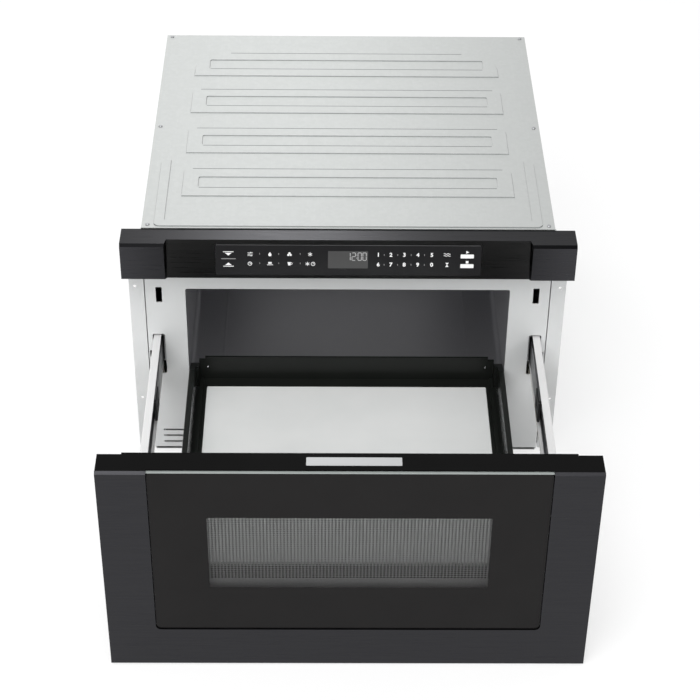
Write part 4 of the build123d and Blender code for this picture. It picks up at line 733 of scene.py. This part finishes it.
def cup(x, y):
    """A cup with a handle."""
    bowl = [(x - 2.6, y + 2.4), (x - 1.8, y - 2.4), (x + 1.2, y - 2.4), (x + 2.0, y + 2.4)]
    return [bowl] + ring(x + 2.3, y + 0.3, 1.7, 0.6, 8)


def kernels(x, y):
    """Three round kernels."""
    return [disc(x - 1.6, y - 1.1, 1.5), disc(x + 1.6, y - 1.1, 1.5), disc(x, y + 1.5, 1.6)]


def sliders(x, y):
    """Three strokes with a knob on each."""
    lines = [bar((x - 3.4, y + d), (x + 3.4, y + d), 0.6) for d in (-2.2, 0, 2.2)]
    knobs = ((1.4, -2.2), (-1.4, 0), (0.8, 2.2))
    return lines + [box_outline(x + k, y + d, 1.3, 1.7) for k, d in knobs]


def softened(x, y):
    """A block over a stroke."""
    return [box_outline(x, y + 1.2, 4.6, 2.6), bar((x - 4, y - 1.6), (x + 4, y - 1.6), 0.8)]


def hourglass(x, y):
    """Two triangles, point to point."""
    return [[(x - 2.4, y + 3), (x, y), (x + 2.4, y + 3)],
            [(x - 2.4, y - 3), (x + 2.4, y - 3), (x, y)]]


def arrow(x, y, way):
    """A wide arrowhead over or under a stroke."""
    return [[(x - 4.5, y - 1.3 * way), (x + 4.5, y - 1.3 * way), (x, y + 2.6 * way)],
            bar((x - 7.0, y - 2.9 * way), (x + 7.0, y - 2.9 * way), 1.0)]


upper, lower = 35.6, 21.6
symbols = (
    arrow(-160.0, 36.0, -1) + arrow(-160.0, 20.6, 1)
    + sliders(-131.0, upper) + drop(-104.6, upper) + kernels(-78.6, upper)
    + snowflake(-51.1, upper)
    + clock(-131.4, lower) + softened(-104.6, lower) + cup(-78.6, lower)
    + snowflake(-54.6, lower) + clock(-47.2, lower)
    + waves(131.5, upper) + hourglass(131.7, lower - 0.6)
    + [[(156.8, 37.6), (161.0, 39.6), (156.8, 41.6)], box_outline(158.5, 25.0, 3.6, 3.6)]
    + [rounded_outline(158.4, y, 17.7, 5.8, 0.8, 3) for y in (33.5, 19.3)]
)
place_piece("key_symbols", prisms(symbols, ON_GLASS, INK, SLOPE),
            white_ink, "cabinet")
ticks = [box_outline(x, y, 0.8, 2.2) for x in (-118.3, -92.9, -64.3) for y in (36.1, 22.3)]
ticks += [box_outline(x, y, 0.8, 2.2) for x in (47.7, 65.6, 83.6, 101.4) for y in NUMERAL_ROWS]
place_piece("key_marks", prisms(ticks + [box_outline(-159.9, 28.7, 19.3, 1.0)],
                                ON_GLASS, INK, SLOPE), grey_ink, "cabinet")

# The display: a film on the glass, with "12:00" in seven segments.
film = [rounded_outline(-0.6, 27.8, 53.3, 25.2, 0.8)]
place_piece("display_film", prisms(film, ON_GLASS, INK, SLOPE),
            display_film, "cabinet")
SEGMENTS = {"1": "bc", "2": "abged", "0": "abcdef"}
DIGIT_W, DIGIT_H, STROKE = 4.6, 11.0, 1.0
DIGIT_BASE = 27.1


def seven_segments(text, x, y):
    """The lit segments of one digit, from its lower left corner."""
    w, h, g = DIGIT_W, DIGIT_H, 0.35
    spans = {
        "a": ((g, h), (w - g, h)), "g": ((g, h / 2), (w - g, h / 2)), "d": ((g, 0), (w - g, 0)),
        "b": ((w, h - g), (w, h / 2 + g)), "c": ((w, h / 2 - g), (w, g)),
        "e": ((0, g), (0, h / 2 - g)), "f": ((0, h / 2 + g), (0, h - g)),
    }
    return shift([bar(*spans[s], STROKE) for s in SEGMENTS[text]], x, y)


lit = []
for text, x in (("1", -2.2), ("2", 4.7), ("0", 12.7), ("0", 19.2)):
    lit += seven_segments(text, x, DIGIT_BASE)
lit += [box_outline(11.0, DIGIT_BASE + h, 1.0, 1.0) for h in (3.4, 7.8)]
place_piece("display_digits", prisms(lit, ON_GLASS + INK * OUTWARD, INK, SLOPE),
            segment_film, "cabinet")

# The touch glass's upper edge is ground: a thin dark grey line over its black face.
GLASS_TOP, GLASS_HALF = 49.4, 177.5
upper_edge = [box_outline(0, GLASS_TOP - 0.4, 2 * GLASS_HALF - 3, 0.8)]
place_piece("touch_glass_edge", prisms(upper_edge, ON_GLASS, INK, SLOPE),
            dark_edge, "cabinet")

# ------------------------------------------------------------------ the drawer front
# A bare plate lies on the cap, near the middle of its depth.
CAP_TOP_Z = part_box("door_top_cap")[1].z / MM
blank = [rounded_outline(4.75, -666.5, 114.5, 15.0, 1.0)]
place_piece("plate_blank", prisms(blank, (0, 0, CAP_TOP_Z), 0.2, LEVEL),
            plate_blank, "drawer")

pane_low, pane_high = (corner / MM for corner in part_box("door_glass"))
# The glass's top edge has a ground bevel in front. Its strip stands proud of the pane
# by a few hundredths of a millimetre.
BEVEL = 0.6
edge_profile = [
    (pane_low.y - 0.06, pane_high.z - BEVEL), (pane_low.y + BEVEL - 0.03, pane_high.z + 0.07),
    (pane_high.y, pane_high.z + 0.07), (pane_high.y, pane_high.z + 0.01),
    (pane_low.y + BEVEL, pane_high.z + 0.01), (pane_low.y - 0.01, pane_high.z - BEVEL),
]

# The printed border of the glass, with the window left clear in it. The window was
# measured as it lies behind the glass. Drawn on the front, it is a little narrower and
# higher, by these shares of the way forward.
NARROWER, HIGHER = 0.072, 0.95
PRINT_Y, PRINT_THICK = pane_low.y, 0.04
FORWARD = pane_high.y - 0.1 - PRINT_Y
CLEAR_X = 173.2 - NARROWER * FORWARD
CLEAR_Z = [z + HIGHER * FORWARD for z in (132.5, 249.6)]
print_half, print_z = pane_high.x - 0.3, (pane_low.z + 0.3, pane_high.z - BEVEL)
CLEAR_WIDTH, CLEAR_HEIGHT = 2 * CLEAR_X, CLEAR_Z[1] - CLEAR_Z[0]
clear = rounded_outline(0, sum(CLEAR_Z) / 2, CLEAR_WIDTH, CLEAR_HEIGHT, 2.0, 4)
outer = rounded_outline(0, sum(print_z) / 2, 2 * print_half, print_z[1] - print_z[0], 6.0, 4)
border = [[outer[i - 1], outer[i], clear[i], clear[i - 1]] for i in range(len(outer))]
place_piece("glass_print", prisms(border, (0, PRINT_Y, 0), PRINT_THICK, FRONT), ceramic_print,
            "drawer")

edge_bar = prisms([edge_profile], (pane_low.x, 0, 0), pane_high.x - pane_low.x, LENGTHWISE)
place_piece("glass_edge", edge_bar, ground_edge, "drawer")

# ------------------------------------------------------------------ the tub
screws("tub_screws", [(x, -244.5, 137.7) for x in (-197.2, 197.2)], (0, -1, 0), 2.6, 1.2,
       "bright_steel", "drawer")

# ------------------------------------------------------------------ floor, world and lamps
WORLD_LEVEL = 0.70
FLOOR_SHARE = 0.6               # of plain white in the floor, as the background rays see it


def background_rays(tree):
    """1 for the rays that see the background: straight, mirrored or through glass."""
    path = add(tree, "ShaderNodeLightPath")
    some = add(tree, "ShaderNodeMath", {
        0: path.outputs["Is Camera Ray"], 1: path.outputs["Is Glossy Ray"],
    }, operation="MAXIMUM")
    return add(tree, "ShaderNodeMath", {
        0: some.outputs[0], 1: path.outputs["Is Transmission Ray"],
    }, operation="MAXIMUM").outputs[0]


world = bpy.data.worlds.new("studio")
scene.world = world
world.use_nodes = True
sky = world.node_tree
sky.nodes.clear()
WHITE = linear("#FFFFFF")
level_light = add(sky, "ShaderNodeBackground", {"Color": WHITE, "Strength": WORLD_LEVEL})
white_back = add(sky, "ShaderNodeBackground", {"Color": WHITE, "Strength": 1.0})
either = add(sky, "ShaderNodeMixShader", {
    0: background_rays(sky), 1: level_light.outputs[0], 2: white_back.outputs[0],
})
add(sky, "ShaderNodeOutputWorld", {"Surface": either.outputs[0]})

floor_material, floor_tree, _ = begin("matt_white_floor")
paper = add(floor_tree, "ShaderNodeBsdfDiffuse", {"Color": linear("#F4F4F4")})
glow = add(floor_tree, "ShaderNodeEmission", {"Color": WHITE, "Strength": 1.0})
share = add(floor_tree, "ShaderNodeMath", {
    0: background_rays(floor_tree), 1: FLOOR_SHARE,
}, operation="MULTIPLY")
mixed = add(floor_tree, "ShaderNodeMixShader", {
    0: share.outputs[0], 1: paper.outputs[0], 2: glow.outputs[0],
})
add(floor_tree, "ShaderNodeOutputMaterial", {"Surface": mixed.outputs[0]})
# The floor is 30 m wide and lies 0.3 mm under the base plate.
FLOOR_HALF, FLOOR_DROP = 15.0, 0.0003
corners = [(x * FLOOR_HALF, y * FLOOR_HALF, -FLOOR_DROP)
           for x, y in ((-1, -1), (1, -1), (1, 1), (-1, 1))]
floor_mesh = bpy.data.meshes.new("floor")
floor_mesh.from_pydata(corners, [], [(0, 1, 2, 3)])
floor_mesh.materials.append(floor_material)
floor = bpy.data.objects.new("floor", floor_mesh)
scene.collection.objects.link(floor)

# Soft boxes: place, target, width, height and power. The last one lights the oven.
LAMPS = (
    ("front_lamp", (-1.3, -3.4, 2.2), (0.0, -0.3, 0.2), 2.0, 1.4, 40.0),
    ("top_lamp", (-0.5, -1.7, 3.0), (0.0, -0.4, 0.1), 2.0, 1.6, 50.0),
    ("side_lamp", (2.3, -2.0, 1.6), (0.0, -0.3, 0.2), 1.2, 1.2, 16.0),
    ("back_lamp", (-0.13, 1.83, 1.85), (-0.08, -0.28, 0.39), 0.35, 0.35, 6.8),
    ("left_lamp", (-1.6, 1.4, 1.6), (-0.2, -0.2, 0.39), 1.6, 1.6, 12.0),
    ("cavity_glow", (0.0, 0.05, 0.268), (0.0, 0.0, 0.1), 0.30, 0.16, 0.03),
)
for name, spot, target, width, height, power in LAMPS:
    light = bpy.data.lights.new(name, "AREA")
    light.shape = "RECTANGLE"
    light.size, light.size_y = width, height
    light.energy = power
    lamp = bpy.data.objects.new(name, light)
    lamp.location = spot
    lamp.rotation_mode = "QUATERNION"
    lamp.rotation_quaternion = (Vector(target) - Vector(spot)).to_track_quat("-Z", "Y")
    scene.collection.objects.link(lamp)
